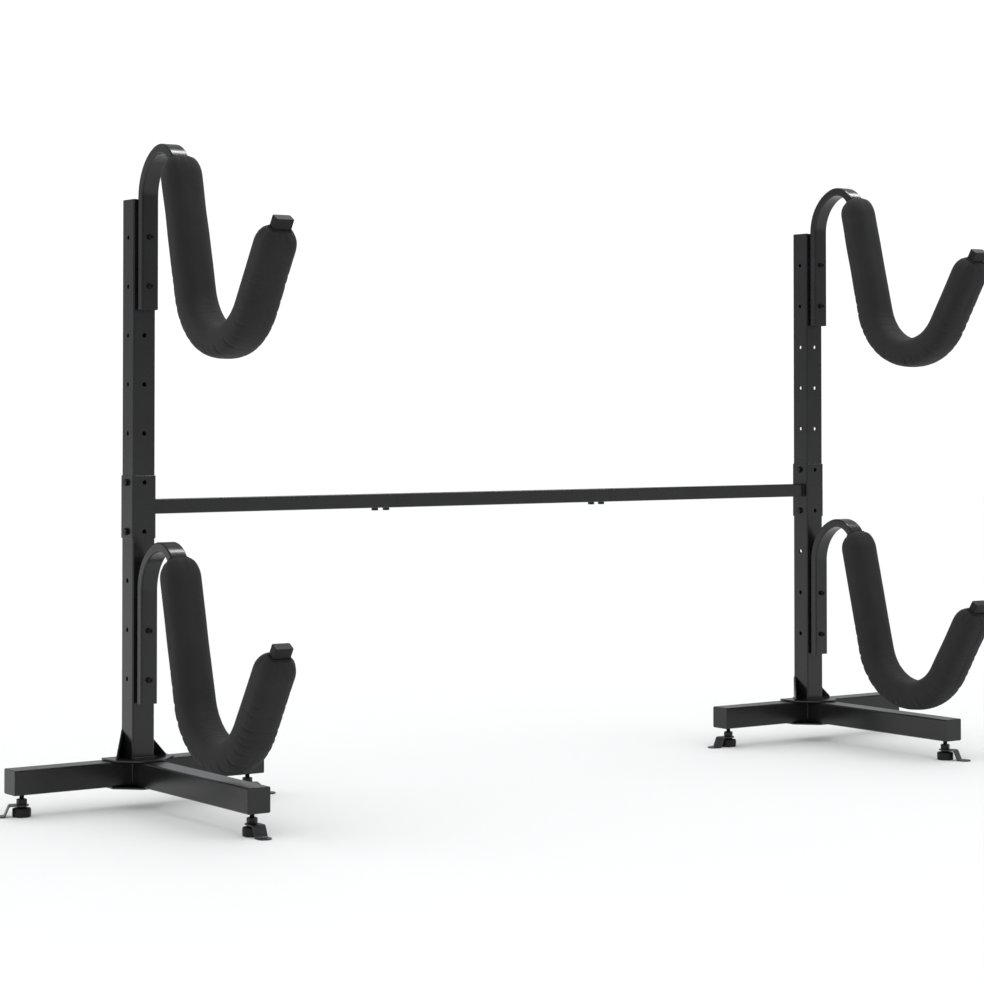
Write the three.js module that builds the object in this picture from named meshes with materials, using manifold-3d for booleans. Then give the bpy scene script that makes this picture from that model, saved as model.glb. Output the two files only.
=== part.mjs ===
// Freestanding two-boat rack: two posts on T-shaped feet, joined by a crossbar,
// with four padded J hooks. Millimetres, +Z up, floor at z = 0,
// +X along the crossbar, -Y towards the hook side.
import * as THREE from 'three';
import Module from 'manifold-3d';

// ---------- driving dimensions ----------
const SPACING = 1836;        // post centre to post centre
const Y_POST = 275.8;        // posts' centre line, so that the box is centred on y = 0
const TUBE = 50, TUBE_R = 3, TUBE_WALL = 2;
const LEG_Z0 = 45;           // underside of the legs
const LEG_SIDE = 283.5;      // side legs reach this far from the post centre
const LEG_FRONT = 492;       // front leg reaches this far from the post centre
const PLATE_T = 3.7;
const PLATE_HALF = 70, PLATE_FRONT = 70;
const POST_TOP = 1236.5, POST_SPLIT = 608.5;
const HOLE_Z0 = 258.5, HOLE_PITCH = 100, HOLE_R = 4.5;
const SLEEVE_W = 53.6, SLEEVE_WALL = 1.5, SLEEVE_Z0 = 544.5, SLEEVE_Z1 = 672.5;
const BAR = 30, BAR_Z = 608.5, BAR_SEAM = 295;
const HOOK_W = 38, HOOK_T = 19, HOOK_WALL = 1.5;
const HOOK_D = 39.5;         // shank centre line in front of the post centre
const HOOK_Z = [1058.5, 258.5];   // lower bolt of the upper and the lower hook
const PAD_HW = 40.5, PAD_HT = 35.2;      // padded sleeve: half width and half thickness
const PAD_ROUND = 38;        // its ends are drawn in over this length
const FOOT_IN = 26.5;        // foot screws sit this far in from the leg tips
const GAP = 0.3;
const X_L = -SPACING / 2, X_R = SPACING / 2;

const wasm = await Module();
wasm.setup();
const { Manifold, Mesh } = wasm;

// ---------- geometry helpers ----------
const fromFlat = (pos, tri) => {
  const g = new THREE.BufferGeometry();
  g.setAttribute('position', new THREE.Float32BufferAttribute(pos, 3));
  g.setIndex(tri);
  return g;
};
const solid = (pos, tri) => new Manifold(new Mesh({
  numProp: 3, vertProperties: new Float32Array(pos), triVerts: new Uint32Array(tri),
}));
const toGeo = (m) => {
  const r = m.getMesh();
  return fromFlat(Array.from(r.vertProperties), Array.from(r.triVerts));
};

// counter-clockwise rounded rectangle, seg points per corner
function rrect(w, h, r, seg) {
  const out = [];
  const cs = [[w / 2 - r, h / 2 - r, 0], [-w / 2 + r, h / 2 - r, 90],
    [-w / 2 + r, -h / 2 + r, 180], [w / 2 - r, -h / 2 + r, 270]];
  for (const [x, y, a0] of cs) {
    if (seg < 2 || r <= 0) { out.push([x + Math.sign(x) * r, y + Math.sign(y) * r]); continue; }
    for (let i = 0; i < seg; i++) {
      const a = (a0 + (90 * i) / (seg - 1)) * Math.PI / 180;
      out.push([x + r * Math.cos(a), y + r * Math.sin(a)]);
    }
  }
  return out;
}
// cushion-shaped loop between an ellipse and a rectangle
const cushion = (a, b, p, n) => Array.from({ length: n }, (_, i) => {
  const q = 2 * Math.PI * i / n, c = Math.cos(q), s = Math.sin(q);
  return [a * Math.sign(c) * Math.abs(c) ** (2 / p), b * Math.sign(s) * Math.abs(s) ** (2 / p)];
});
const circle = (r, n, turn = 0) => Array.from({ length: n }, (_, i) => {
  const a = 2 * Math.PI * (i + turn) / n;
  return [r * Math.cos(a), r * Math.sin(a)];
});

// triangles between two loops round the same centre, counter-clockwise
function ringFaces(outer, inner) {
  const ang = ([x, y]) => Math.atan2(y, x), n = outer.length, m = inner.length, out = [];
  const turn = (from, to) => { let d = to - from; while (d < 0) d += 2 * Math.PI; return d; };
  const a0 = ang(outer[0]);
  let j0 = 0, best = 9;
  inner.forEach((p, j) => {
    const d = Math.abs(Math.atan2(Math.sin(ang(p) - a0), Math.cos(ang(p) - a0)));
    if (d < best) { best = d; j0 = j; }
  });
  const ref = Math.min(a0, a0 + Math.atan2(Math.sin(ang(inner[j0]) - a0), Math.cos(ang(inner[j0]) - a0)));
  const ao = (i) => (i >= n ? 2 * Math.PI : 0) + turn(ref, ang(outer[i % n]));
  const ai = (j) => (j >= m ? 2 * Math.PI : 0) + turn(ref, ang(inner[(j0 + j) % m]));
  let i = 0, j = 0;
  while (i < n || j < m) {
    if (j >= m || (i < n && ao(i + 1) <= ai(j + 1))) {
      out.push([i % n, (i + 1) % n, n + ((j0 + j) % m)]); i++;
    } else {
      out.push([i % n, n + ((j0 + j + 1) % m), n + ((j0 + j) % m)]); j++;
    }
  }
  return out;
}
// A section (outer loop and optional inner loop, both counter-clockwise) carried
// through stations {o, u, v}: point = o + s*u + t*v, with u x v along the path.
// A station may carry k = [a, b, c]: the outer loop is drawn in by a and b, and moved by c.
function sweep(outer, inner, stations) {
  const n = outer.length, m = inner ? inner.length : 0, pos = [], tri = [];
  for (const st of stations) {
    const rim = st.k ? outer.map(([s, t]) => [s * st.k[0], t * st.k[1] + st.k[2]]) : outer;
    for (const [s, t] of inner ? [...rim, ...inner] : rim) {
      pos.push(st.o[0] + s * st.u[0] + t * st.v[0],
        st.o[1] + s * st.u[1] + t * st.v[1], st.o[2] + s * st.u[2] + t * st.v[2]);
    }
  }
  const k = n + m, last = (stations.length - 1) * k;
  for (let j = 0; j < stations.length - 1; j++) {
    const a = j * k, b = a + k;
    for (let i = 0; i < n; i++) {
      const i2 = (i + 1) % n;
      tri.push(a + i, a + i2, b + i2, a + i, b + i2, b + i);
    }
    for (let i = 0; i < m; i++) {
      const i2 = (i + 1) % m;
      tri.push(a + n + i, b + n + i2, a + n + i2, a + n + i, b + n + i, b + n + i2);
    }
  }
  const faces = inner ? ringFaces(outer, inner)
    : THREE.ShapeUtils.triangulateShape(outer.map(([x, y]) => new THREE.Vector2(x, y)), []);
  for (const [a, b, c] of faces) {
    tri.push(a, c, b, last + a, last + b, last + c);
  }
  return solid(pos, tri);
}
// straight prism along an axis from c0 to c1; (p, q) are the section's axes
const AX = {
  x: { u: [0, 1, 0], v: [0, 0, 1], d: [1, 0, 0] },
  y: { u: [0, 0, 1], v: [1, 0, 0], d: [0, 1, 0] },
  z: { u: [1, 0, 0], v: [0, 1, 0], d: [0, 0, 1] },
};
function prism(axis, outer, inner, c0, c1, at) {
  const { u, v, d } = AX[axis];
  const st = [c0, c1].map((c) => ({ o: [at[0] + c * d[0], at[1] + c * d[1], at[2] + c * d[2]], u, v }));
  return sweep(outer, inner, st);
}
const box = (x0, x1, y0, y1, z0, z1) => prism('z',
  [[x0, y0], [x1, y0], [x1, y1], [x0, y1]], null, z0, z1, [0, 0, 0]);
const rod = (axis, r, c0, c1, at, n = 10, turn = 0.5) => prism(axis, circle(r, n, turn), null, c0, c1, at);
// hexagon with two flats square to the first section axis
const hex = (axis, af, c0, c1, at) => prism(axis, circle(af / Math.sqrt(3), 6, 0.5), null, c0, c1, at);
const join = (list) => list.reduce((a, b) => a.add(b));
// turned shape: profile of [r, z] from the bottom axis point round to the top one
function turned(profile, at, n = 16) {
  const pos = [], tri = [], rows = [];
  for (const [r, z] of profile) {
    if (r === 0) { rows.push([pos.length / 3]); pos.push(at[0], at[1], at[2] + z); continue; }
    const row = [];
    for (let i = 0; i < n; i++) {
      const a = 2 * Math.PI * i / n;
      row.push(pos.length / 3);
      pos.push(at[0] + r * Math.cos(a), at[1] + r * Math.sin(a), at[2] + z);
    }
    rows.push(row);
  }
  for (let j = 0; j < rows.length - 1; j++) {
    const a = rows[j], b = rows[j + 1];
    for (let i = 0; i < n; i++) {
      const i2 = (i + 1) % n;
      if (a.length === 1) tri.push(a[0], b[i2], b[i]);
      else if (b.length === 1) tri.push(a[i], a[i2], b[0]);
      else tri.push(a[i], a[i2], b[i2], a[i], b[i2], b[i]);
    }
  }
  return solid(pos, tri);
}
// flat polygon between z0 and z1, given counter-clockwise
const slab = (pts, z0, z1) => prism('z', pts, null, z0, z1, [0, 0, 0]);
const Y = (d) => Y_POST - d;      // distance in front of the posts -> y

// ---------- materials ----------
const mat = (color, roughness, metalness) => new THREE.MeshStandardMaterial({ color, roughness, metalness });
const POWDER = mat(0x26272a, 0.55, 0.35);
const BOLT = mat(0x1b1c1e, 0.45, 0.7);
const PAD = mat(0x2a2b30, 0.95, 0.0);
const PLASTIC = mat(0x161719, 0.6, 0.0);
const STRIP = mat(0x55575b, 0.4, 0.85);

const rack = new THREE.Group();
rack.name = 'kayak_rack';
function node(name, m, material) {
  const mesh = new THREE.Mesh(toGeo(m), material);
  mesh.name = name;
  rack.add(mesh);
}

// ---------- posts ----------
const ringO = rrect(TUBE, TUBE, TUBE_R, 3), ringI = rrect(TUBE - 2 * TUBE_WALL, TUBE - 2 * TUBE_WALL, 0, 1);
function postTube(x, z0, z1, holes) {
  let t = prism('z', ringO, ringI, z0, z1, [x, Y(0), 0]);
  for (const z of holes) {
    t = t.subtract(rod('x', HOLE_R, -40, 40, [x, Y(0), z], 8));
    t = t.subtract(rod('y', HOLE_R, -40, 40, [x, Y(0), z], 8));
  }
  return t;
}
const holeZ = Array.from({ length: 10 }, (_, i) => HOLE_Z0 + HOLE_PITCH * i);
const PLATE_TOP = LEG_Z0 + TUBE + GAP + PLATE_T;
// six-sided foot plate with a cut corner on each side of the front leg
const hexPlate = (x, z0, z1) => slab([
  [x - PLATE_HALF, Y(-25)], [x - PLATE_HALF, Y(25)], [x - 25, Y(PLATE_FRONT)],
  [x + 25, Y(PLATE_FRONT)], [x + PLATE_HALF, Y(25)], [x + PLATE_HALF, Y(-25)]], z0, z1);
// upright three-cornered gusset from a rear corner of the post, raked out and forward
function gusset(x, side) {
  const a = [24.2, -24], b = [57, 15], t = 3.6, h = 58;
  const dx = b[0] - a[0], dd = b[1] - a[1], l = Math.hypot(dx, dd);
  const nx = -dd / l * t, nd = dx / l * t;
  const P = (p, z, off) => [x + side * (p[0] + off * nx), Y(p[1] + off * nd), z];
  const zb = PLATE_TOP - 0.5;
  const pts = [P(a, zb, 0), P(b, zb, 0), P(a, PLATE_TOP + h, 0), P(a, zb, 1), P(b, zb, 1), P(a, PLATE_TOP + h, 1)];
  // keep a short blunt toe so that the plate ends in a real edge
  const toe = [P(b, zb + 4, 0), P(b, zb + 4, 1)];
  const pos = [...pts[0], ...pts[1], ...toe[0], ...pts[2], ...pts[3], ...pts[4], ...toe[1], ...pts[5]];
  let tri = [0, 1, 2, 0, 2, 3, 4, 6, 5, 4, 7, 6, 0, 5, 1, 0, 4, 5, 1, 6, 2, 1, 5, 6, 2, 7, 3, 2, 6, 7, 3, 4, 0, 3, 7, 4];
  let m = solid(pos, tri);
  if (m.volume() < 0) { tri = tri.map((_, i, all) => all[i - (i % 3) + (2 - (i % 3))]); m = solid(pos, tri); }
  return m;
}
for (const [tag, x] of [['left', X_L], ['right', X_R]]) {
  const lower = postTube(x, PLATE_TOP - 0.5, POST_SPLIT - GAP / 2, holeZ.filter((z) => z < POST_SPLIT - 20));
  node(`lower_post_${tag}`, join([lower, hexPlate(x, LEG_Z0 + TUBE + GAP, PLATE_TOP), gusset(x, -1), gusset(x, 1)]), POWDER);
  const upper = postTube(x, POST_SPLIT + GAP / 2, POST_TOP, holeZ.filter((z) => z > POST_SPLIT + 20));
  const lid = prism('z', rrect(TUBE - 2, TUBE - 2, 2, 3), null, POST_TOP - 2.5, POST_TOP - 0.5, [x, Y(0), 0]);
  node(`upper_post_${tag}`, upper.add(lid), POWDER);
}

// ---------- T-shaped feet, with a nut welded inside each leg tip ----------
const footX = LEG_SIDE - FOOT_IN, footD = LEG_FRONT - FOOT_IN;
const STUD_HOLE = 5.3;
const legI = rrect(TUBE - 2 * TUBE_WALL, TUBE - 2 * TUBE_WALL, 0, 1);
for (const [tag, x] of [['left', X_L], ['right', X_R]]) {
  const zc = LEG_Z0 + TUBE / 2;
  let side = prism('x', ringO, legI, -LEG_SIDE, LEG_SIDE, [x, Y(0), zc]);
  for (const s of [-1, 1]) {
    side = side.add(prism('x', rrect(TUBE - 2, TUBE - 2, 2, 3), null,
      Math.min(s * (LEG_SIDE - 3), s * (LEG_SIDE - 0.6)), Math.max(s * (LEG_SIDE - 3), s * (LEG_SIDE - 0.6)), [x, Y(0), zc]));
    side = side.add(hex('z', 17, LEG_Z0 + 1, LEG_Z0 + 10, [x + s * footX, Y(0), 0]));
    side = side.subtract(rod('z', STUD_HOLE, LEG_Z0 - 5, LEG_Z0 + 12, [x + s * footX, Y(0), 0], 10));
  }
  node(`side_legs_${tag}`, side, POWDER);
  let front = prism('y', ringO, legI, Y(LEG_FRONT), Y(25 + GAP), [x, 0, zc]);
  front = front.add(prism('y', rrect(TUBE - 2, TUBE - 2, 2, 3), null, Y(LEG_FRONT - 0.6), Y(LEG_FRONT - 3), [x, 0, zc]));
  front = front.add(hex('z', 17, LEG_Z0 + 1, LEG_Z0 + 10, [x, Y(footD), 0]));
  front = front.subtract(rod('z', STUD_HOLE, LEG_Z0 - 5, LEG_Z0 + 12, [x, Y(footD), 0], 10));
  node(`front_leg_${tag}`, front, POWDER);
  node(`bottom_plate_${tag}`, hexPlate(x, LEG_Z0 - GAP - PLATE_T, LEG_Z0 - GAP), POWDER);
}

// ---------- levelling feet and floor strips ----------
// each foot: name, centre, and the way its strip points at rest, in degrees from +X towards +Y
const feet = [];
for (const [tag, x] of [['left', X_L], ['right', X_R]]) {
  const s = tag === 'left' ? -1 : 1;
  feet.push([`${tag}_outer`, x + s * footX, Y(0), tag === 'left' ? 158 : 22]);
  feet.push([`${tag}_inner`, x - s * footX, Y(0), tag === 'left' ? -20 : 180]);
  feet.push([`${tag}_front`, x, Y(footD), tag === 'left' ? -90 : -65]);
}
const STRIP_HW = 14.2, STRIP_T = 2.4, STRIP_Z = 21.6, STRIP_REACH = 60, TAB_HOLE = 47;
// side outline of the strip: flat over the cup, bent down, then flat on the floor
const stripOutline = (() => {
  const zc = STRIP_Z + STRIP_T / 2, zf = STRIP_T / 2, h = STRIP_T / 2;
  const slope = Math.atan2(zc - zf, 9), mid = [];
  const bend = (cx, cz, r, a0, a1, n) => {
    for (let i = 0; i <= n; i++) {
      const a = a0 + (a1 - a0) * i / n;
      mid.push([cx + r * Math.cos(a), cz + r * Math.sin(a), a]);
    }
  };
  const r1 = 5, r2 = 4, k = Math.tan(slope / 2), up = Math.PI / 2;
  mid.push([-STRIP_HW - 1, zc, up]);
  bend(25 - r1 * k, zc - r1, r1, up, up - slope, 4);
  // the lower bend turns the other way round its centre, above the tab
  const low = [];
  for (let i = 0; i <= 4; i++) {
    const a = -up - slope + slope * i / 4;
    low.push([34 + r2 * k + r2 * Math.cos(a), zf + r2 + r2 * Math.sin(a), a + Math.PI]);
  }
  mid.push(...low);
  mid.push([STRIP_REACH + 1, zf, up]);
  const side = (s) => mid.map(([d, z, a]) => [d + s * h * Math.cos(a), z + s * h * Math.sin(a)]);
  return [...side(-1), ...side(1).reverse()];
})();
for (const [tag, x, y, deg] of feet) {
  // threaded stem with a hexagon, its ball end held in the cup
  node(`foot_stud_${tag}`, join([
    rod('z', 5, 12, LEG_Z0 + 28, [x, y, 0], 10),
    hex('z', 18.5, 24.3, 35.5, [x, y, 0])]), BOLT);
  let cup = turned([[0, 0], [17.6, 0], [18.5, 1.5], [18.6, 15.5], [17.4, 17.5], [10.5, 17.8], [9.6, 18.8], [9.4, 21.3], [0, 21.3]], [x, y, 0], 20);
  cup = cup.subtract(rod('z', 5.3, 11.7, 30, [x, y, 0], 10));
  node(`foot_cup_${tag}`, cup, PLASTIC);
  // strip clamped over the cup, stepped down to a round-ended tab with a screw hole
  const a = deg * Math.PI / 180, dx = Math.cos(a), dy = Math.sin(a);
  const st = [20, -20].map((w) => ({ o: [x - w * dy, y + w * dx, 0], u: [dx, dy, 0], v: [0, 0, 1] }));
  const plan = [];
  for (let i = 0; i <= 12; i++) {
    const b = -Math.PI / 2 + Math.PI * i / 12, c = STRIP_REACH - STRIP_HW;
    plan.push([c + STRIP_HW * Math.cos(b), STRIP_HW * Math.sin(b)]);
  }
  for (let i = 0; i <= 12; i++) {
    const b = Math.PI / 2 + Math.PI * i / 12;
    plan.push([STRIP_HW * Math.cos(b), STRIP_HW * Math.sin(b)]);
  }
  const at = ([p, q]) => [x + p * dx - q * dy, y + p * dy + q * dx];
  let strip = sweep(stripOutline, null, st).intersect(slab(plan.map(at), -5, 40));
  strip = strip.subtract(rod('z', 5.6, 10, 40, [x, y, 0], 12));
  strip = strip.subtract(rod('z', 3.4, -5, 10, [...at([TAB_HOLE, 0]), 0], 12));
  node(`floor_strip_${tag}`, strip, STRIP);
}

// ---------- crossbar in three pieces, the outer ones with a post sleeve ----------
const barO = rrect(BAR, BAR, 2, 2), barI = rrect(BAR - 4, BAR - 4, 0, 1);
const sleeveO = rrect(SLEEVE_W, SLEEVE_W, 3.5, 3);
const sleeveI = rrect(SLEEVE_W - 2 * SLEEVE_WALL, SLEEVE_W - 2 * SLEEVE_WALL, 0, 1);
const jointX = [[-BAR_SEAM, -BAR_SEAM - 20, -BAR_SEAM - 49], [BAR_SEAM, BAR_SEAM - 18, BAR_SEAM - 47]];
function barHoles(m, xs) {
  for (const x of xs) m = m.subtract(rod('z', 4.4, BAR_Z - 30, BAR_Z + 5, [x, Y(0), 0], 8));
  return m;
}
function sleeve(x) {
  let s = prism('z', sleeveO, sleeveI, SLEEVE_Z0, SLEEVE_Z1, [x, Y(0), 0]);
  for (const z of [558.5, 658.5]) {
    s = s.subtract(rod('x', HOLE_R, -40, 40, [x, Y(0), z], 8));
    s = s.subtract(rod('y', HOLE_R, -40, 40, [x, Y(0), z], 8));
  }
  return s;
}
// the left piece is the female half of its joint: a liner stub of the middle piece slides in
const stub = rrect(BAR - 4 - 2 * GAP, BAR - 4 - 2 * GAP, 1, 2), stubI = rrect(BAR - 8 - 2 * GAP, BAR - 8 - 2 * GAP, 0, 1);
const seat = SLEEVE_W / 2 - 0.8;
let bl = prism('x', barO, barI, X_L + seat, -BAR_SEAM - GAP / 2, [0, Y(0), BAR_Z]);
bl = barHoles(bl, jointX[0].slice(1)).add(sleeve(X_L));
node('crossbar_left', bl, POWDER);
let bm = prism('x', barO, barI, -BAR_SEAM + GAP / 2, BAR_SEAM - GAP / 2, [0, Y(0), BAR_Z]);
bm = bm.add(prism('x', rrect(BAR - 2, BAR - 2, 1, 2), stubI, -BAR_SEAM + GAP / 2 + 1, -BAR_SEAM + 14, [0, Y(0), BAR_Z]));
bm = bm.add(prism('x', stub, stubI, -BAR_SEAM - 64, -BAR_SEAM + 14, [0, Y(0), BAR_Z]));
bm = barHoles(bm, [...jointX[0].slice(1), ...jointX[1].slice(1)]);
node('crossbar_middle', bm, POWDER);
let br = prism('x', barO, barI, BAR_SEAM + GAP / 2, X_R - seat, [0, Y(0), BAR_Z]);
br = br.add(prism('x', rrect(BAR - 2, BAR - 2, 1, 2), stubI, BAR_SEAM + GAP / 2 + 1, BAR_SEAM + 14, [0, Y(0), BAR_Z]));
br = br.add(prism('x', stub, stubI, BAR_SEAM - 62, BAR_SEAM + 14, [0, Y(0), BAR_Z]));
br = barHoles(br, jointX[1].slice(1)).add(sleeve(X_R));
node('crossbar_right', br, POWDER);
let jn = 0;
for (const set of jointX) {
  for (const x of set.slice(1)) {
    jn++;
    // screwed up from below: the head hangs under the bar
    const z0 = BAR_Z - BAR / 2;
    node(`crossbar_bolt_${jn}`, join([
      hex('z', 13, z0 - GAP - 5.6, z0 - GAP, [x, Y(0), 0]),
      rod('z', 4, z0 - GAP - 3, z0 + 9, [x, Y(0), 0], 8)]), BOLT);
  }
}
// sleeve bolts run through along X: head on the -X side, nut on the +X side
for (const [tag, x] of [['left', X_L], ['right', X_R]]) {
  for (const [row, z] of [['low', 558.5], ['high', 658.5]]) {
    const f = SLEEVE_W / 2 + GAP;
    node(`sleeve_bolt_${tag}_${row}`, join([
      hex('x', 13, -f - 5.3, -f, [x, Y(0), z]),
      rod('x', 4, -f - 2, f + 10, [x, Y(0), z], 8),
      hex('x', 13, f, f + 6.8, [x, Y(0), z])]), BOLT);
  }
}

// ---------- J hooks ----------
// Centre line in (d, z): d in front of the post centre, z above the hook's lower bolt.
// Each station is [d, z, heading], heading in degrees from +d towards +z.
const PAD_HEAD = -57.6;        // heading of the line at the upper mouth of the sleeve
const hookLine = (() => {
  const S = [];
  const z0 = -48.5;                       // lower end of the shank
  S.push([HOOK_D, z0, 90]);
  const R1 = 96.5, c1 = [HOOK_D + R1, 179.5];
  const h1 = 20;
  for (let i = 0; i <= 6; i++) {
    const h = 90 - (90 - h1) * i / 6, a = h * Math.PI / 180;
    S.push([c1[0] - R1 * Math.sin(a), c1[1] + R1 * Math.cos(a), h]);
  }
  const a1 = h1 * Math.PI / 180, R2 = 55.5;
  const c2 = [c1[0] - (R1 - R2) * Math.sin(a1), c1[1] + (R1 - R2) * Math.cos(a1)];
  // seven steps to the mouth of the sleeve and two more to the end of this bend
  for (let i = 1; i <= 9; i++) {
    const h = i <= 7 ? h1 + (PAD_HEAD - h1) * i / 7 : PAD_HEAD + (-76 - PAD_HEAD) * (i - 7) / 2, a = h * Math.PI / 180;
    S.push([c2[0] - R2 * Math.sin(a), c2[1] + R2 * Math.cos(a), h]);
  }
  // long fall at 14 degrees from upright, then the cradle bend, then the rising arm
  const R3 = 130.7, hUp = 58.5;
  const e = S[S.length - 1], fall = 260;
  const aF = -76 * Math.PI / 180;
  const f = [e[0] + fall * Math.cos(aF), e[1] + fall * Math.sin(aF)];
  const c3 = [f[0] - R3 * Math.sin(aF), f[1] + R3 * Math.cos(aF)];
  for (let i = 0; i <= 16; i++) {
    const h = -76 + (76 + hUp) * i / 16, a = h * Math.PI / 180;
    S.push([c3[0] + R3 * Math.sin(a), c3[1] - R3 * Math.cos(a), h]);
  }
  const g = S[S.length - 1], aU = hUp * Math.PI / 180, rise = 195;
  S.push([g[0] + rise * Math.cos(aU), g[1] + rise * Math.sin(aU), hUp]);
  return S;
})();
const station = (x, zb, [d, z, h]) => {
  const a = h * Math.PI / 180;
  // section axes: first across (x), second in the hook's plane
  return { o: [x, Y(d), zb + z], u: [1, 0, 0], v: [0, Math.sin(a), Math.cos(a)] };
};
const along = (st, l) => {
  const a = st[2] * Math.PI / 180;
  return [st[0] + l * Math.cos(a), st[1] + l * Math.sin(a), st[2]];
};
const N = hookLine.length;
const PAD_FROM = 14, PAD_END = 24.5;     // sleeve runs from this station to this far before the tip
const mid = (a, b, t) => {
  const L = (p, q) => p.map((c, i) => c + (q[i] - c) * t);
  return { o: L(a.o, b.o), u: L(a.u, b.u), v: L(a.v, b.v) };
};
// how far the sleeve is drawn in at a distance e from one of its mouths
const drawn = (e) => {
  const k = e >= PAD_ROUND ? 1 : Math.sqrt(1 - (1 - e / PAD_ROUND) ** 2);
  return [(25 + (PAD_HW - 25) * k) / PAD_HW, (16 + (PAD_HT - 16) * k) / PAD_HT, 0.8];
};
const CAP_T = 3;
let hn = 0;
for (const [tag, x] of [['left', X_L], ['right', X_R]]) {
  for (const [row, zb] of [['upper', HOOK_Z[0]], ['lower', HOOK_Z[1]]]) {
    const name = `${tag}_${row}`;
    const line = [...hookLine.slice(0, N - 1), along(hookLine[N - 1], -CAP_T)];
    let tube = sweep(rrect(HOOK_W, HOOK_T, 3, 2), rrect(HOOK_W - 2 * HOOK_WALL, HOOK_T - 2 * HOOK_WALL, 0, 1),
      line.map((s) => station(x, zb, s)));
    // two short stand-off bosses keep the shank clear of the post face
    for (const z of [zb, zb + 100]) {
      tube = tube.add(rod('y', 9, Y(HOOK_D - HOOK_T / 2 + 1), Y(TUBE / 2 + GAP), [x, 0, z], 12));
      tube = tube.subtract(rod('y', HOLE_R, Y(70), Y(10), [x, 0, z], 8));
    }
    node(`hook_${name}`, tube, POWDER);
    // end cap: a flange over the tube end and a plug inside it
    const tip = hookLine[N - 1];
    const cap = join([
      sweep(rrect(HOOK_W, HOOK_T, 3, 2), null, [along(tip, -CAP_T + GAP), tip].map((s) => station(x, zb, s))),
      sweep(rrect(HOOK_W - 2 * HOOK_WALL - 2 * GAP, HOOK_T - 2 * HOOK_WALL - 2 * GAP, 0, 1), null,
        [along(tip, -CAP_T - 16), along(tip, -1)].map((s) => station(x, zb, s)))]);
    node(`hook_cap_${name}`, cap, PLASTIC);
    // padded sleeve, full and round, drawn in at both mouths to the tube that runs through it
    const st = (s) => station(x, zb, s), bend = 55.5 * Math.PI / 180 * (76 + PAD_HEAD) / 2;
    const head = [];
    for (let i = 0; i < 2; i++) {
      const a = st(hookLine[PAD_FROM + i]), b = st(hookLine[PAD_FROM + i + 1]);
      for (const t of i === 0 ? [0, 0.2, 0.5] : [0, 0.5]) head.push({ ...mid(a, b, t), k: drawn((i + t) * bend) });
    }
    const low = hookLine[PAD_FROM + 2];
    for (const e of [0, 8, PAD_ROUND - 2 * bend]) head.push({ ...st(along(low, e)), k: drawn(2 * bend + e) });
    const body = hookLine.slice(PAD_FROM + 3, N - 1).map((s) => ({ ...st(s), k: drawn(PAD_ROUND) }));
    const tail = [PAD_ROUND, 25, 14, 7, 3, 0.8, 0].map((e) => ({ ...st(along(tip, -PAD_END - e)), k: drawn(e) }));
    node(`hook_pad_${name}`, sweep(cushion(PAD_HW, PAD_HT, 2.6, 20),
      rrect(HOOK_W + 2 * GAP, HOOK_T + 2 * GAP, 0, 1), [...head, ...body, ...tail]), PAD);
    for (const [n, z] of [[1, zb], [2, zb + 100]]) {
      const front = HOOK_D + HOOK_T / 2 + GAP, back = -TUBE / 2 - GAP;
      node(`hook_bolt_${name}_${n}`, join([
        rod('y', 5.5, Y(front + 6.5), Y(front), [x, 0, z], 12),
        rod('y', 4, Y(front + 1), Y(back - 10), [x, 0, z], 8),
        hex('y', 13, Y(back), Y(back - 6.8), [x, 0, z])]), BOLT);
    }
    hn++;
  }
}

export default rack;
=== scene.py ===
import math
import random

import bmesh
import bpy
import numpy as np
from mathutils import Matrix, Vector


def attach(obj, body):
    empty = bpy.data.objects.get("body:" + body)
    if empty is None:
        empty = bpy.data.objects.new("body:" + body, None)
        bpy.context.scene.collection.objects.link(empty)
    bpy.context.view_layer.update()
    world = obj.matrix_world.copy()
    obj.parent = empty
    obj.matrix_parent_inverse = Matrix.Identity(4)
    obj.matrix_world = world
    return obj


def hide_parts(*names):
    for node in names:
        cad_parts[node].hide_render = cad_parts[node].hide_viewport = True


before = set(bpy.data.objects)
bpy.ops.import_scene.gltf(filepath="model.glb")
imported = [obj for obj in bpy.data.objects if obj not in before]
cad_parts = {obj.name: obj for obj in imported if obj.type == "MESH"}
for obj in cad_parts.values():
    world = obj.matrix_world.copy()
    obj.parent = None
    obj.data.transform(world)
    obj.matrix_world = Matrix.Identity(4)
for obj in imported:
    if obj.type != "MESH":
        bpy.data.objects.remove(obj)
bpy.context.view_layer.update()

scene = bpy.context.scene

# ---------------------------------------------------------------- dimensions, millimetres
SPACING, Y_POST = 1836.0, 275.8
TUBE, TUBE_R, WALL = 50.0, 3.4, 2.0
LEG_Z0, LEG_SIDE, LEG_FRONT = 45.0, 283.5, 492.0
PLATE_T, PLATE_HALF, PLATE_FRONT = 3.7, 70.0, 70.0
POST_TOP, POST_SPLIT = 1236.5, 608.5
HOLE_R = 4.5
SLEEVE_W, SLEEVE_WALL, SLEEVE_Z0, SLEEVE_Z1 = 53.6, 1.5, 544.5, 672.5
BAR, BAR_Z, BAR_SEAM = 30.0, 608.5, 295.0
HOOK_W, HOOK_T, HOOK_D = 38.0, 19.0, 39.5
HOOK_Z = (1058.5, 258.5)
GAP = 0.3
X_L, X_R = -SPACING / 2, SPACING / 2
FOOT_X, FOOT_D = LEG_SIDE - 26.5, LEG_FRONT - 26.5
PLATE_TOP = LEG_Z0 + TUBE + GAP + PLATE_T
SIDES = (("left", X_L), ("right", X_R))
ROWS = (("upper", HOOK_Z[0]), ("lower", HOOK_Z[1]))


def Y(d):
    return Y_POST - d


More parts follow.
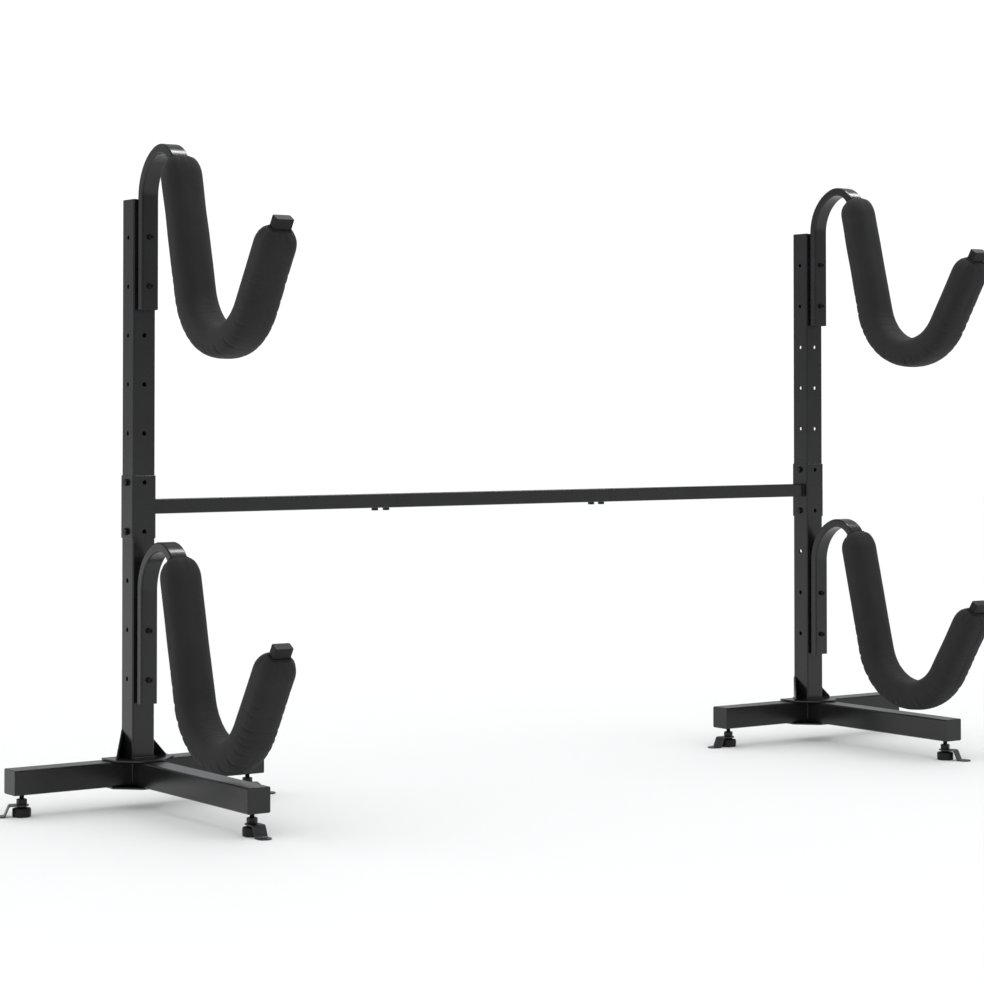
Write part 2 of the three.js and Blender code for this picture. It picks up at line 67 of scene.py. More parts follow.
# ---------------------------------------------------------------- mesh helpers
class Shape:
    """Vertices in millimetres and faces, gathered from several closed shells."""

    def __init__(self):
        self.v, self.f = [], []

    def add(self, verts, faces):
        n = len(self.v)
        self.v.extend([tuple(p) for p in verts])
        self.f.extend([[i + n for i in q] for q in faces])
        return self


def rrect(w, h, r, seg=8):
    out = []
    for cx, cy, a0 in ((w / 2 - r, h / 2 - r, 0), (-w / 2 + r, h / 2 - r, 90),
                       (-w / 2 + r, -h / 2 + r, 180), (w / 2 - r, -h / 2 + r, 270)):
        for i in range(seg):
            a = math.radians(a0 + 90 * i / (seg - 1))
            out.append((cx + r * math.cos(a), cy + r * math.sin(a)))
    return out


def ring(r, n=32, turn=0.0):
    return [(r * math.cos(2 * math.pi * (i + turn) / n), r * math.sin(2 * math.pi * (i + turn) / n)) for i in range(n)]


def place(loop, st):
    o, u, v = st
    return [tuple(o[k] + s * u[k] + t * v[k] for k in range(3)) for s, t in loop]


def loft(rings, cap_first=True, cap_last=True, closed=False):
    """Closed surface through equal rings of points, in order along the u x v direction."""
    n = len(rings[0])
    v = [p for r in rings for p in r]
    f = []
    m = len(rings)
    for j in range(m if closed else m - 1):
        a, b = j * n, ((j + 1) % m) * n
        for i in range(n):
            i2 = (i + 1) % n
            f.append([a + i, a + i2, b + i2, b + i])
    if not closed:
        if cap_first:
            f.append(list(range(n - 1, -1, -1)))
        if cap_last:
            f.append([(m - 1) * n + i for i in range(n)])
    return v, f


AXES = {"x": ((0, 1, 0), (0, 0, 1), (1, 0, 0)), "y": ((0, 0, 1), (1, 0, 0), (0, 1, 0)), "z": ((1, 0, 0), (0, 1, 0), (0, 0, 1))}


def prism(axis, loop, c0, c1, at, soft=0.0, ends=(True, True)):
    """Straight bar of a section; soft rounds its two end rims a little."""
    u, v, d = AXES[axis]
    rings = []

    def put(c, inset):
        if inset > 0:
            cx = [abs(p) for q in loop for p in q]
            big = max(cx)
            k = (big - inset) / big
            lp = [(p * k, q * k) for p, q in loop]
        else:
            lp = loop
        rings.append(place(lp, (tuple(at[i] + c * d[i] for i in range(3)), u, v)))

    if soft > 0 and ends[0]:
        for a in (90, 60, 30, 0):
            ra = math.radians(a)
            put(c0 + soft * (1 - math.sin(ra)), soft * (1 - math.cos(ra)))
    else:
        put(c0, 0)
    if soft > 0 and ends[1]:
        for a in (0, 30, 60, 90):
            ra = math.radians(a)
            put(c1 - soft * (1 - math.sin(ra)), soft * (1 - math.cos(ra)))
    else:
        put(c1, 0)
    return loft(rings)


def pipe(axis, outer, inner, c0, c1, at):
    """Straight tube with both ends open."""
    u, v, d = AXES[axis]
    n = len(outer)
    e = 0.35
    cs = [(outer, c0 + e), (shrink(outer, e), c0), (grow(inner, e), c0), (inner, c0 + e),
          (inner, c1 - e), (grow(inner, e), c1), (shrink(outer, e), c1), (outer, c1 - e)]
    rings = [place(lp, (tuple(at[i] + c * d[i] for i in range(3)), u, v)) for lp, c in cs]
    # going round the wall: outer face last, so that faces point out
    rings = [rings[7], rings[6], rings[5], rings[4], rings[3], rings[2], rings[1], rings[0]]
    v_, f_ = loft(rings[::-1], closed=True)
    f_ = [q[::-1] for q in f_]
    return v_, f_


def shrink(loop, e):
    big = max(abs(p) for q in loop for p in q)
    return [(p * (big - e) / big, q * (big - e) / big) for p, q in loop]


def grow(loop, e):
    return shrink(loop, -e)


def turned(profile, at, n=48, axis="z"):
    """Turned solid: profile of (r, c) from the lower axis point to the upper one."""
    u, v, d = AXES[axis]
    verts, faces, rows = [], [], []
    for r, c in profile:
        o = tuple(at[i] + c * d[i] for i in range(3))
        if r <= 1e-9:
            rows.append([len(verts)])
            verts.append(o)
        else:
            pts = place(ring(r, n), (o, u, v))
            rows.append(list(range(len(verts), len(verts) + n)))
            verts.extend(pts)
    for a, b in zip(rows, rows[1:]):
        for i in range(n):
            i2 = (i + 1) % n
            if len(a) == 1 and len(b) == 1:
                continue
            if len(a) == 1:
                faces.append([a[0], b[i2], b[i]])
            elif len(b) == 1:
                faces.append([a[i], a[i2], b[0]])
            else:
                faces.append([a[i], a[i2], b[i2], b[i]])
    return verts, faces


def hex_radius(af, a):
    """Distance from the centre of a hexagon to its edge at angle a; a flat faces angle 0."""
    k = math.radians(60)
    b = (a + k / 2) % k - k / 2
    return af / 2 / math.cos(b)


def hex_body(axis, af, c0, c1, at, chamfer=(True, True), n=72, recess=0.0):
    """Hexagon with the curved chamfers that turning leaves on its corners."""
    u, v, d = AXES[axis]
    rc = af / 2 * 0.965
    # softened corners: blend the hexagon slightly towards its corner circle
    rad = []
    for i in range(n):
        a = 2 * math.pi * i / n
        rad.append(min(hex_radius(af, a), af / 2 * 1.135))

    def put(radii, cs):
        pts = []
        for i in range(n):
            a = 2 * math.pi * i / n
            o = [at[k] + cs[i] * d[k] for k in range(3)]
            pts.append(tuple(o[k] + radii[i] * (math.cos(a) * u[k] + math.sin(a) * v[k]) for k in range(3)))
        return pts

    rings = []
    if chamfer[0]:
        rings.append(put([rc * 0.97] * n, [c0] * n))
        rings.append(put([rc] * n, [c0 + 0.12] * n))
        rings.append(put(rad, [c0 + 0.12 + max(0, (r - rc)) * 0.58 for r in rad]))
    else:
        rings.append(put(rad, [c0] * n))
    if chamfer[1]:
        rings.append(put(rad, [c1 - 0.12 - max(0, (r - rc)) * 0.58 for r in rad]))
        rings.append(put([rc] * n, [c1 - 0.12] * n))
        rings.append(put([rc * 0.97] * n, [c1] * n))
    else:
        rings.append(put(rad, [c1] * n))
    return loft(rings)


def thread(axis, r, pitch, c0, c1, at, n=20, per=5, depth=None):
    """Screw thread as real ridges that run round the rod, with a chamfered end at each end."""
    depth = depth or pitch * 0.52
    u, v, d = AXES[axis]
    rings = []
    steps = max(2, int(round((c1 - c0) / pitch * per)))
    for j in range(steps + 1):
        c = c0 + (c1 - c0) * j / steps
        pts = []
        for i in range(n):
            ph = (c / pitch - i / n) % 1.0
            tri = abs(2 * ph - 1)
            rr = r - depth * tri
            fade = min((c - c0), (c1 - c)) / 1.2
            if fade < 1:
                rr = min(rr, r - depth * (1 - max(0, fade)) - 0.15 * (1 - max(0, fade)))
            a = 2 * math.pi * i / n
            pts.append(tuple(at[k] + c * d[k] + rr * (math.cos(a) * u[k] + math.sin(a) * v[k]) for k in range(3)))
        rings.append(pts)
    return loft(rings)


def bead(path, r, seed=0, closed=False, step=1.0, pitch=2.3, sides=8, flat=0.75):
    """Weld bead: a low rippled ridge laid along a path of points."""
    rnd = random.Random(seed)
    P = [Vector(p) for p in path]
    if closed:
        P.append(P[0])
    seg = [(b - a).length for a, b in zip(P, P[1:])]
    total = sum(seg)
    m = max(3, int(total / step))
    pts = []
    for j in range(m if closed else m + 1):
        t = total * j / m
        k = 0
        while k < len(seg) - 1 and t > seg[k]:
            t -= seg[k]
            k += 1
        pts.append(P[k].lerp(P[k + 1], min(1, t / max(seg[k], 1e-9))))
    off = rnd.random() * 10
    rings = []
    cnt = len(pts)
    for j, p in enumerate(pts):
        a = pts[(j - 1) % cnt] if closed or j > 0 else p
        b = pts[(j + 1) % cnt] if closed or j < cnt - 1 else p
        tan = (b - a)
        tan = tan.normalized() if tan.length > 1e-9 else Vector((1, 0, 0))
        ref = Vector((0, 0, 1)) if abs(tan.z) < 0.9 else Vector((0, 1, 0))
        n1 = tan.cross(ref).normalized()
        n2 = n1.cross(tan).normalized()
        s = total * j / m
        wave = 1 + 0.13 * math.cos(2 * math.pi * s / pitch + off) + 0.07 * math.sin(s * 0.61 + off) + 0.03 * (rnd.random() - 0.5)
        rr = r * wave
        if not closed:
            e = min(s, total - s) / (1.2 * r)
            if e < 1:
                rr *= math.sqrt(max(0.06, 1 - (1 - e) ** 2))
        # each ring is a circle of the rippled radius round the path, scaled by flat
        rings.append([tuple(p + n1 * (rr * math.cos(q)) * flat + n2 * (rr * math.sin(q)) * flat) for q in
                      [2 * math.pi * i / sides for i in range(sides)]])
    return loft(rings, closed=closed)


def make(name, shape, mat, body="frame", stands_for=(), angle=32, weighted=True, bevel=0.0, keep=True):
    me = bpy.data.meshes.new(name)
    me.from_pydata([(x * 0.001, y * 0.001, z * 0.001) for x, y, z in shape.v], [], shape.f)
    me.validate(clean_customdata=False)
    me.update()
    ob = bpy.data.objects.new(name, me)
    scene.collection.objects.link(ob)
    if keep:
        finish_piece(ob, mat, body, stands_for, angle, weighted, bevel)
    return ob


def fix_normals(me):
    bm = bmesh.new()
    bm.from_mesh(me)
    bmesh.ops.recalc_face_normals(bm, faces=bm.faces)
    bm.to_mesh(me)
    bm.free()


def finish_piece(ob, mat, body, stands_for=(), angle=32, weighted=True, bevel=0.0, fix=True):
    me = ob.data
    if fix:
        fix_normals(me)
    me.polygons.foreach_set("use_smooth", [True] * len(me.polygons))
    me.set_sharp_from_angle(angle=math.radians(angle))
    me.materials.clear()
    me.materials.append(mat)
    if bevel > 0:
        b = ob.modifiers.new("edge", "BEVEL")
        b.width = bevel * 0.001
        b.segments = 2
        b.limit_method = "ANGLE"
        b.angle_limit = math.radians(40)
        b.use_clamp_overlap = True
        b.harden_normals = False
    if weighted:
        w = ob.modifiers.new("normals", "WEIGHTED_NORMAL")
        w.keep_sharp = bevel <= 0
        w.weight = 80
    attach(ob, body)
    if stands_for:
        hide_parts(*stands_for)
    ob.update_tag()
    return ob


def boolean(ob, other, op="DIFFERENCE"):
    mod = ob.modifiers.new("cut", "BOOLEAN")
    mod.operation = op
    mod.object = other
    mod.solver = "MANIFOLD"
    dg = bpy.context.evaluated_depsgraph_get()
    me = bpy.data.meshes.new_from_object(ob.evaluated_get(dg))
    if len(me.polygons) < 4:
        mod.solver = "EXACT"
        dg = bpy.context.evaluated_depsgraph_get()
        me = bpy.data.meshes.new_from_object(ob.evaluated_get(dg))
    ob.modifiers.clear()
    old = ob.data
    name = old.name
    ob.data = me
    bpy.data.meshes.remove(old)
    me.name = name
    data = other.data
    bpy.data.objects.remove(other)
    bpy.data.meshes.remove(data)
    return ob


def cutter(axis, centres, r, half, rim_at, rim=0.45):
    """Drills along an axis, slightly flared where they meet the outer faces at +-rim_at."""
    sh = Shape()
    for c in centres:
        prof = [(0, -half), (r + rim + 2.0, -half), (r + rim + 0.3, -rim_at - 0.3), (r + rim * 0.45, -rim_at + rim * 0.55), (r, -rim_at + rim * 1.4),
                (r, rim_at - rim * 1.4), (r + rim * 0.45, rim_at - rim * 0.55), (r + rim + 0.3, rim_at + 0.3), (r + rim + 2.0, half), (0, half)]
        sh.add(*turned(prof, c, n=28, axis=axis))
    ob = make("cutter", sh, None, keep=False)
    fix_normals(ob.data)
    return ob


# ---------------------------------------------------------------- materials
def material(name):
    m = bpy.data.materials.new(name)
    m.use_nodes = True
    nt = m.node_tree
    nt.nodes.clear()
    out = nt.nodes.new("ShaderNodeOutputMaterial")
    b = nt.nodes.new("ShaderNodeBsdfPrincipled")
    nt.links.new(b.outputs["BSDF"], out.inputs["Surface"])
    return m, nt, b


def noise(nt, vec, scale, detail=2.0, rough=0.5, distortion=0.0):
    n = nt.nodes.new("ShaderNodeTexNoise")
    n.inputs["Scale"].default_value = scale
    n.inputs["Detail"].default_value = detail
    n.inputs["Roughness"].default_value = rough
    n.inputs["Distortion"].default_value = distortion
    nt.links.new(vec, n.inputs["Vector"])
    return n.outputs["Fac"]


def remap(nt, fac, a, b, lo, hi):
    n = nt.nodes.new("ShaderNodeMapRange")
    n.inputs["From Min"].default_value = a
    n.inputs["From Max"].default_value = b
    n.inputs["To Min"].default_value = lo
    n.inputs["To Max"].default_value = hi
    nt.links.new(fac, n.inputs["Value"])
    return n.outputs["Result"]


def blend_colour(nt, fac, a, b):
    n = nt.nodes.new("ShaderNodeMix")
    n.data_type = "RGBA"
    nt.links.new(fac, n.inputs[0])
    n.inputs[6].default_value = (*a, 1)
    n.inputs[7].default_value = (*b, 1)
    return n.outputs[2]


def mix_in(nt, fac, colour, b):
    n = nt.nodes.new("ShaderNodeMix")
    n.data_type = "RGBA"
    nt.links.new(fac, n.inputs[0])
    nt.links.new(colour, n.inputs[6])
    n.inputs[7].default_value = (*b, 1)
    return n.outputs[2]


def math_node(nt, op, a, b=None, clamp=False):
    n = nt.nodes.new("ShaderNodeMath")
    n.operation = op
    n.use_clamp = clamp
    for i, x in enumerate((a, b)):
        if x is None:
            continue
        if isinstance(x, (int, float)):
            n.inputs[i].default_value = x
        else:
            nt.links.new(x, n.inputs[i])
    return n.outputs[0]


def bump(nt, height, strength, distance, normal=None):
    n = nt.nodes.new("ShaderNodeBump")
    n.inputs["Strength"].default_value = strength
    n.inputs["Distance"].default_value = distance
    nt.links.new(height, n.inputs["Height"])
    if normal is not None:
        nt.links.new(normal, n.inputs["Normal"])
    return n.outputs["Normal"]


def object_coords(nt):
    return nt.nodes.new("ShaderNodeTexCoord").outputs["Object"]


def edge_mask(nt, radius, lo=0.02, hi=0.22):
    """1 on the outer edges of a piece, 0 on its flats, from how the rounded normal departs from the true one."""
    bev = nt.nodes.new("ShaderNodeBevel")
    bev.samples = 4
    bev.inputs["Radius"].default_value = radius
    geo = nt.nodes.new("ShaderNodeNewGeometry")
    dot = nt.nodes.new("ShaderNodeVectorMath")
    dot.operation = "DOT_PRODUCT"
    nt.links.new(bev.outputs["Normal"], dot.inputs[0])
    nt.links.new(geo.outputs["Normal"], dot.inputs[1])
    inv = math_node(nt, "SUBTRACT", 1.0, dot.outputs["Value"])
    return remap(nt, inv, lo, hi, 0.0, 1.0)


def powder_coat():
    m, nt, b = material("powder_coat")
    co = object_coords(nt)
    broad = noise(nt, co, 9.0, 4.0, 0.55)
    peel = noise(nt, co, 520.0, 2.0, 0.5)
    wave = noise(nt, co, 150.0, 2.0, 0.45)
    speck = noise(nt, co, 2300.0, 1.0, 0.5)
    col = blend_colour(nt, remap(nt, broad, 0.3, 0.7, 0, 1), (0.0062, 0.0063, 0.0070), (0.0095, 0.0097, 0.0106))
    col = mix_in(nt, remap(nt, speck, 0.66, 0.82, 0, 0.35), col, (0.020, 0.020, 0.022))
    nt.links.new(col, b.inputs["Base Color"])
    r = math_node(nt, "ADD", remap(nt, broad, 0.25, 0.75, 0.20, 0.26), remap(nt, peel, 0.3, 0.7, -0.03, 0.03))
    nt.links.new(r, b.inputs["Roughness"])
    n1 = bump(nt, wave, 0.35, 0.00022)
    n2 = bump(nt, peel, 0.45, 0.00010, n1)
    nt.links.new(n2, b.inputs["Normal"])
    b.inputs["IOR"].default_value = 1.46
    return m


def black_metal(name, base, rough, metallic=0.85, grain=900.0):
    m, nt, b = material(name)
    co = object_coords(nt)
    broad = noise(nt, co, 60.0, 4.0, 0.6)
    fine = noise(nt, co, grain, 3.0, 0.6)
    worn = tuple(min(1, 2.4 * c + 0.012) for c in base)
    col = blend_colour(nt, remap(nt, broad, 0.35, 0.75, 0, 1), base, tuple(c * 1.5 for c in base))
    col = mix_in(nt, remap(nt, fine, 0.62, 0.8, 0, 0.5), col, worn)
    nt.links.new(col, b.inputs["Base Color"])
    nt.links.new(remap(nt, broad, 0.25, 0.75, rough - 0.06, rough + 0.08), b.inputs["Roughness"])
    nt.links.new(bump(nt, fine, 0.35, 0.00006), b.inputs["Normal"])
    b.inputs["Metallic"].default_value = metallic
    return m


def plastic(name, base, rough, grain=650.0):
    m, nt, b = material(name)
    co = object_coords(nt)
    broad = noise(nt, co, 40.0, 3.0, 0.5)
    fine = noise(nt, co, grain, 2.0, 0.6)
    col = blend_colour(nt, remap(nt, broad, 0.3, 0.7, 0, 1), base, tuple(c * 1.35 for c in base))
    nt.links.new(col, b.inputs["Base Color"])
    nt.links.new(remap(nt, fine, 0.3, 0.7, rough - 0.05, rough + 0.06), b.inputs["Roughness"])
    nt.links.new(bump(nt, fine, 0.4, 0.00010), b.inputs["Normal"])
    b.inputs["IOR"].default_value = 1.36
    return m


def fabric():
    """Close plain weave, its threads running along and across the sleeve."""
    m, nt, b = material("pad_cloth")
    at = nt.nodes.new("ShaderNodeAttribute")
    at.attribute_name = "lay"
    at.attribute_type = "GEOMETRY"
    sep = nt.nodes.new("ShaderNodeSeparateXYZ")
    nt.links.new(at.outputs["Vector"], sep.inputs[0])
    k = 2 * math.pi / 0.0011
    a = math_node(nt, "SINE", math_node(nt, "MULTIPLY", sep.outputs["X"], k))
    c = math_node(nt, "SINE", math_node(nt, "MULTIPLY", sep.outputs["Y"], k))
    weave = math_node(nt, "MULTIPLY", a, c)
    over = math_node(nt, "ADD", math_node(nt, "ABSOLUTE", a), math_node(nt, "ABSOLUTE", c))
    co = object_coords(nt)
    broad = noise(nt, co, 16.0, 4.0, 0.6)
    slub = noise(nt, co, 420.0, 3.0, 0.6)
    col = blend_colour(nt, remap(nt, broad, 0.3, 0.7, 0, 1), (0.0150, 0.0150, 0.0158), (0.0180, 0.0180, 0.0190))
    dark = remap(nt, weave, -1.0, 1.0, 0.0, 0.35)
    col = mix_in(nt, dark, col, (0.0092, 0.0092, 0.0098))
    col = mix_in(nt, remap(nt, slub, 0.6, 0.8, 0, 0.5), col, (0.026, 0.0262, 0.029))
    nt.links.new(col, b.inputs["Base Color"])
    nt.links.new(remap(nt, slub, 0.3, 0.7, 0.80, 0.95), b.inputs["Roughness"])
    h = math_node(nt, "ADD", math_node(nt, "MULTIPLY", weave, 0.5), math_node(nt, "MULTIPLY", over, 0.35))
    n1 = bump(nt, slub, 0.35, 0.0004)
    nt.links.new(bump(nt, h, 0.55, 0.00022, n1), b.inputs["Normal"])
    b.inputs["Sheen Weight"].default_value = 0.06
    b.inputs["Sheen Roughness"].default_value = 0.5
    b.inputs["Specular IOR Level"].default_value = 0.25
    return m


def thread_cloth(name, base):
    m, nt, b = material(name)
    co = object_coords(nt)
    fine = noise(nt, co, 1400.0, 2.0, 0.6)
    col = blend_colour(nt, remap(nt, fine, 0.3, 0.7, 0, 1), base, tuple(c * 1.7 for c in base))
    nt.links.new(col, b.inputs["Base Color"])
    nt.links.new(remap(nt, fine, 0.3, 0.7, 0.7, 0.9), b.inputs["Roughness"])
    nt.links.new(bump(nt, fine, 0.5, 0.00015), b.inputs["Normal"])
    b.inputs["Specular IOR Level"].default_value = 0.3
    return m


POWDER = powder_coat()
HARDWARE = black_metal("black_fixings", (0.0085, 0.0085, 0.0092), 0.44, 0.45)
STEEL = black_metal("dark_strip", (0.050, 0.050, 0.052), 0.34, 0.85)
CAP = plastic("cap_moulded", (0.0028, 0.0028, 0.0030), 0.55)
RUBBER = plastic("foot_moulded", (0.0065, 0.0065, 0.0068), 0.5)
CLOTH = fabric()
BINDING = thread_cloth("pad_binding", (0.0065, 0.0065, 0.0072))


# ---------------------------------------------------------------- posts, plates and gussets
def post_tube(name, x, z0, z1, holes, stands):
    sh = Shape()
    sh.add(*pipe("z", rrect(TUBE, TUBE, TUBE_R, 9), rrect(TUBE - 2 * WALL, TUBE - 2 * WALL, 1.6, 9), z0, z1, (x, Y(0), 0)))
    ob = make(name, sh, POWDER, keep=False)
    fix_normals(ob.data)
    boolean(ob, cutter("x", [(x, Y(0), z) for z in holes], HOLE_R, 40, TUBE / 2))
    boolean(ob, cutter("y", [(x, Y(0), z) for z in holes], HOLE_R, 40, TUBE / 2))
    return finish_piece(ob, POWDER, "frame", stands, angle=38)


def plate_outline(x):
    pts = [(x - PLATE_HALF, Y(-25)), (x - PLATE_HALF, Y(25)), (x - 25, Y(PLATE_FRONT)),
           (x + 25, Y(PLATE_FRONT)), (x + PLATE_HALF, Y(25)), (x + PLATE_HALF, Y(-25))]
    out = []
    n = len(pts)
    for i, p in enumerate(pts):
        a, b = Vector(pts[i - 1]), Vector(pts[(i + 1) % n])
        p = Vector(p)
        u, w = (a - p).normalized(), (b - p).normalized()
        q0, q1 = p + u * 2.2, p + w * 2.2
        for k in range(5):
            t = k / 4
            out.append(tuple((1 - t) ** 2 * q0 + 2 * t * (1 - t) * p + t * t * q1))
    return out


def flat_plate(x, z0, z1):
    lp = plate_outline(x)
    n = len(lp)
    c = Vector((sum(p[0] for p in lp) / n, sum(p[1] for p in lp) / n))

    def inset(e):
        return [tuple(Vector(p) + (c - Vector(p)).normalized() * e) for p in lp]
    rings = [[(*p, z0) for p in inset(0.45)], [(*p, z0 + 0.2) for p in inset(0.12)], [(*p, z0 + 0.5) for p in lp],
             [(*p, z1 - 0.5) for p in lp], [(*p, z1 - 0.2) for p in inset(0.12)], [(*p, z1) for p in inset(0.45)]]
    return loft(rings)


def gusset(x, side):
    a, b, t, h = (24.2, -24.0), (57.0, 15.0), 3.6, 58.0
    dx, dd = b[0] - a[0], b[1] - a[1]
    l = math.hypot(dx, dd)
    nx, nd = -dd / l * t, dx / l * t
    zb = PLATE_TOP - 0.3

    def Pt(p, z, off):
        return (x + side * (p[0] + off * nx), Y(p[1] + off * nd), z)
    outline = [(a, zb), (b, zb), (b, zb + 4), (a, PLATE_TOP + h)]
    v = [Pt(p, z, 0) for p, z in outline] + [Pt(p, z, 1) for p, z in outline]
    f = [[0, 1, 2, 3], [7, 6, 5, 4], [0, 4, 5, 1], [1, 5, 6, 2], [2, 6, 7, 3], [3, 7, 4, 0]]
    return v, f


hole_z = [258.5 + 100 * i for i in range(10)]
for tag, x in SIDES:
    post_tube(f"post_lower_{tag}", x, PLATE_TOP - 0.3, POST_SPLIT - GAP / 2, [z for z in hole_z if z < 580], (f"lower_post_{tag}",))
    post_tube(f"post_upper_{tag}", x, POST_SPLIT + GAP / 2, POST_TOP, [z for z in hole_z if z > 640], (f"upper_post_{tag}",))
    make(f"post_lid_{tag}", Shape().add(*prism("z", rrect(TUBE - 3.2, TUBE - 3.2, 2.2, 9), POST_TOP - 2.6, POST_TOP - 0.35, (x, Y(0), 0), soft=0.5)), POWDER)
    make(f"foot_plate_{tag}", Shape().add(*flat_plate(x, LEG_Z0 + TUBE + GAP, PLATE_TOP)), POWDER)
    make(f"under_plate_{tag}", Shape().add(*flat_plate(x, LEG_Z0 - GAP - PLATE_T, LEG_Z0 - GAP)), POWDER, stands_for=(f"bottom_plate_{tag}",))
    g = Shape().add(*gusset(x, -1)).add(*gusset(x, 1))
    make(f"gussets_{tag}", g, POWDER, bevel=0.5)
    # welds: round the post's foot, up each gusset and along its base, round the lid
    w = Shape()
    h = TUBE / 2
    w.add(*bead([(x - h - .6, Y(-h - .6), PLATE_TOP + .5), (x + h + .6, Y(-h - .6), PLATE_TOP + .5), (x + h + .6, Y(h + .6), PLATE_TOP + .5), (x - h - .6, Y(h + .6), PLATE_TOP + .5)], 2.2, seed=3 + (x > 0), closed=True))
    for side in (-1, 1):
        for off, s0 in ((0.0, -0.6), (3.6, 0.6)):
            ax, ay = 24.2, -24.0
            bx, by = 57.0, 15.0
            l = math.hypot(bx - ax, by - ay)
            nx, ny = -(by - ay) / l, (bx - ax) / l
            q = off + s0
            w.add(*bead([(x + side * (ax + 1.5 + q * nx), Y(ay + 1.5 + q * ny), PLATE_TOP + .5), (x + side * (bx - 3 + q * nx), Y(by - 3 + q * ny), PLATE_TOP + .5)], 1.7, seed=11 + side + int(off)))
            w.add(*bead([(x + side * (25.6), Y(ay + 1.6 + q * ny * 1.25 + off * 0.0), PLATE_TOP + 3), (x + side * (25.6), Y(ay + 1.6 + q * ny * 1.25), PLATE_TOP + 52)], 1.5, seed=17 + side + int(off)))
    make(f"foot_welds_{tag}", w, POWDER, weighted=False, angle=80)
    lid = [(x - h + 2, Y(-h + 2), POST_TOP - .55), (x + h - 2, Y(-h + 2), POST_TOP - .55), (x + h - 2, Y(h - 2), POST_TOP - .55), (x - h + 2, Y(h - 2), POST_TOP - .55)]
    make(f"lid_weld_{tag}", Shape().add(*bead(lid, 0.7, seed=5, closed=True, pitch=2.0)), POWDER, weighted=False, angle=80)


# ---------------------------------------------------------------- T-shaped feet
def leg_bar(name, axis, c0, c1, at, holes, stands):
    loop = rrect(TUBE, TUBE, TUBE_R, 9)
    ob = make(name, Shape().add(*prism(axis, loop, c0, c1, at, soft=1.1)), POWDER, keep=False)
    fix_normals(ob.data)
    sh = Shape()
    for hx, hy in holes:
        sh.add(*turned([(0, LEG_Z0 - 6), (6.4, LEG_Z0 - 6), (6.0, LEG_Z0 - .3), (5.45, LEG_Z0 + .4), (5.3, LEG_Z0 + .8), (5.3, LEG_Z0 + 47), (0, LEG_Z0 + 47)], (hx, hy, 0), n=28))
    c = make("cutter", sh, None, keep=False)
    fix_normals(c.data)
    boolean(ob, c)
    return finish_piece(ob, POWDER, "frame", stands, angle=38)


for tag, x in SIDES:
    zc = LEG_Z0 + TUBE / 2
    leg_bar(f"leg_side_{tag}", "x", -LEG_SIDE, LEG_SIDE, (x, Y(0), zc), [(x - FOOT_X, Y(0)), (x + FOOT_X, Y(0))], (f"side_legs_{tag}",))
    leg_bar(f"leg_front_{tag}", "y", Y(LEG_FRONT), Y(25 + GAP), (x, 0, zc), [(x, Y(FOOT_D))], (f"front_leg_{tag}",))
    w = Shape()
    for s in (-1, 1):
        w.add(*bead([(x + s * 25.4, Y(25.6), LEG_Z0 + 3), (x + s * 25.4, Y(25.6), LEG_Z0 + 47)], 1.8, seed=23 + s))
    make(f"leg_welds_{tag}", w, POWDER, weighted=False, angle=80)


# ---------------------------------------------------------------- crossbar
bar_loop = rrect(BAR, BAR, 2.4, 8)
seat = SLEEVE_W / 2 - 0.6


def sleeve_mesh(name, x):
    ob = make(name, Shape().add(*pipe("z", rrect(SLEEVE_W, SLEEVE_W, 3.9, 9), rrect(SLEEVE_W - 2 * SLEEVE_WALL, SLEEVE_W - 2 * SLEEVE_WALL, 2.4, 9), SLEEVE_Z0, SLEEVE_Z1, (x, Y(0), 0))), None, keep=False)
    fix_normals(ob.data)
    boolean(ob, cutter("x", [(x, Y(0), z) for z in (558.5, 658.5)], HOLE_R, 40, SLEEVE_W / 2, 0.35))
    boolean(ob, cutter("y", [(x, Y(0), z) for z in (558.5, 658.5)], HOLE_R, 40, SLEEVE_W / 2, 0.35))
    return ob


def bar_mesh(name, x0, x1, holes, ends):
    ob = make(name, Shape().add(*prism("x", bar_loop, x0, x1, (0, Y(0), BAR_Z), soft=0.6, ends=ends)), None, keep=False)
    fix_normals(ob.data)
    sh = Shape()
    for hx in holes:
        sh.add(*turned([(0, BAR_Z - 24), (6.2, BAR_Z - 24), (5.0, BAR_Z - 15.3), (4.4, BAR_Z - 14.4), (4.4, BAR_Z - 9), (0, BAR_Z - 9)], (hx, Y(0), 0), n=28))
    c = make("cutter", sh, None, keep=False)
    fix_normals(c.data)
    boolean(ob, c)
    return ob


LEFT_HOLES, RIGHT_HOLES = (-BAR_SEAM - 20, -BAR_SEAM - 49), (BAR_SEAM - 18, BAR_SEAM - 47)
s = sleeve_mesh("bar_sleeve_left", X_L)
finish_piece(s, POWDER, "frame", ("crossbar_left",), angle=38)
s = sleeve_mesh("bar_sleeve_right", X_R)
finish_piece(s, POWDER, "frame", ("crossbar_right",), angle=38)
b = bar_mesh("bar_left", X_L + seat, -BAR_SEAM - GAP / 2, LEFT_HOLES, (False, True))
finish_piece(b, POWDER, "frame", ("crossbar_left",), angle=38)
b = bar_mesh("bar_middle", -BAR_SEAM + GAP / 2, BAR_SEAM - GAP / 2, RIGHT_HOLES, (True, True))
finish_piece(b, POWDER, "frame", ("crossbar_middle",), angle=38)
b = bar_mesh("bar_right", BAR_SEAM + GAP / 2, X_R - seat, (), (True, False))
finish_piece(b, POWDER, "frame", ("crossbar_right",), angle=38)
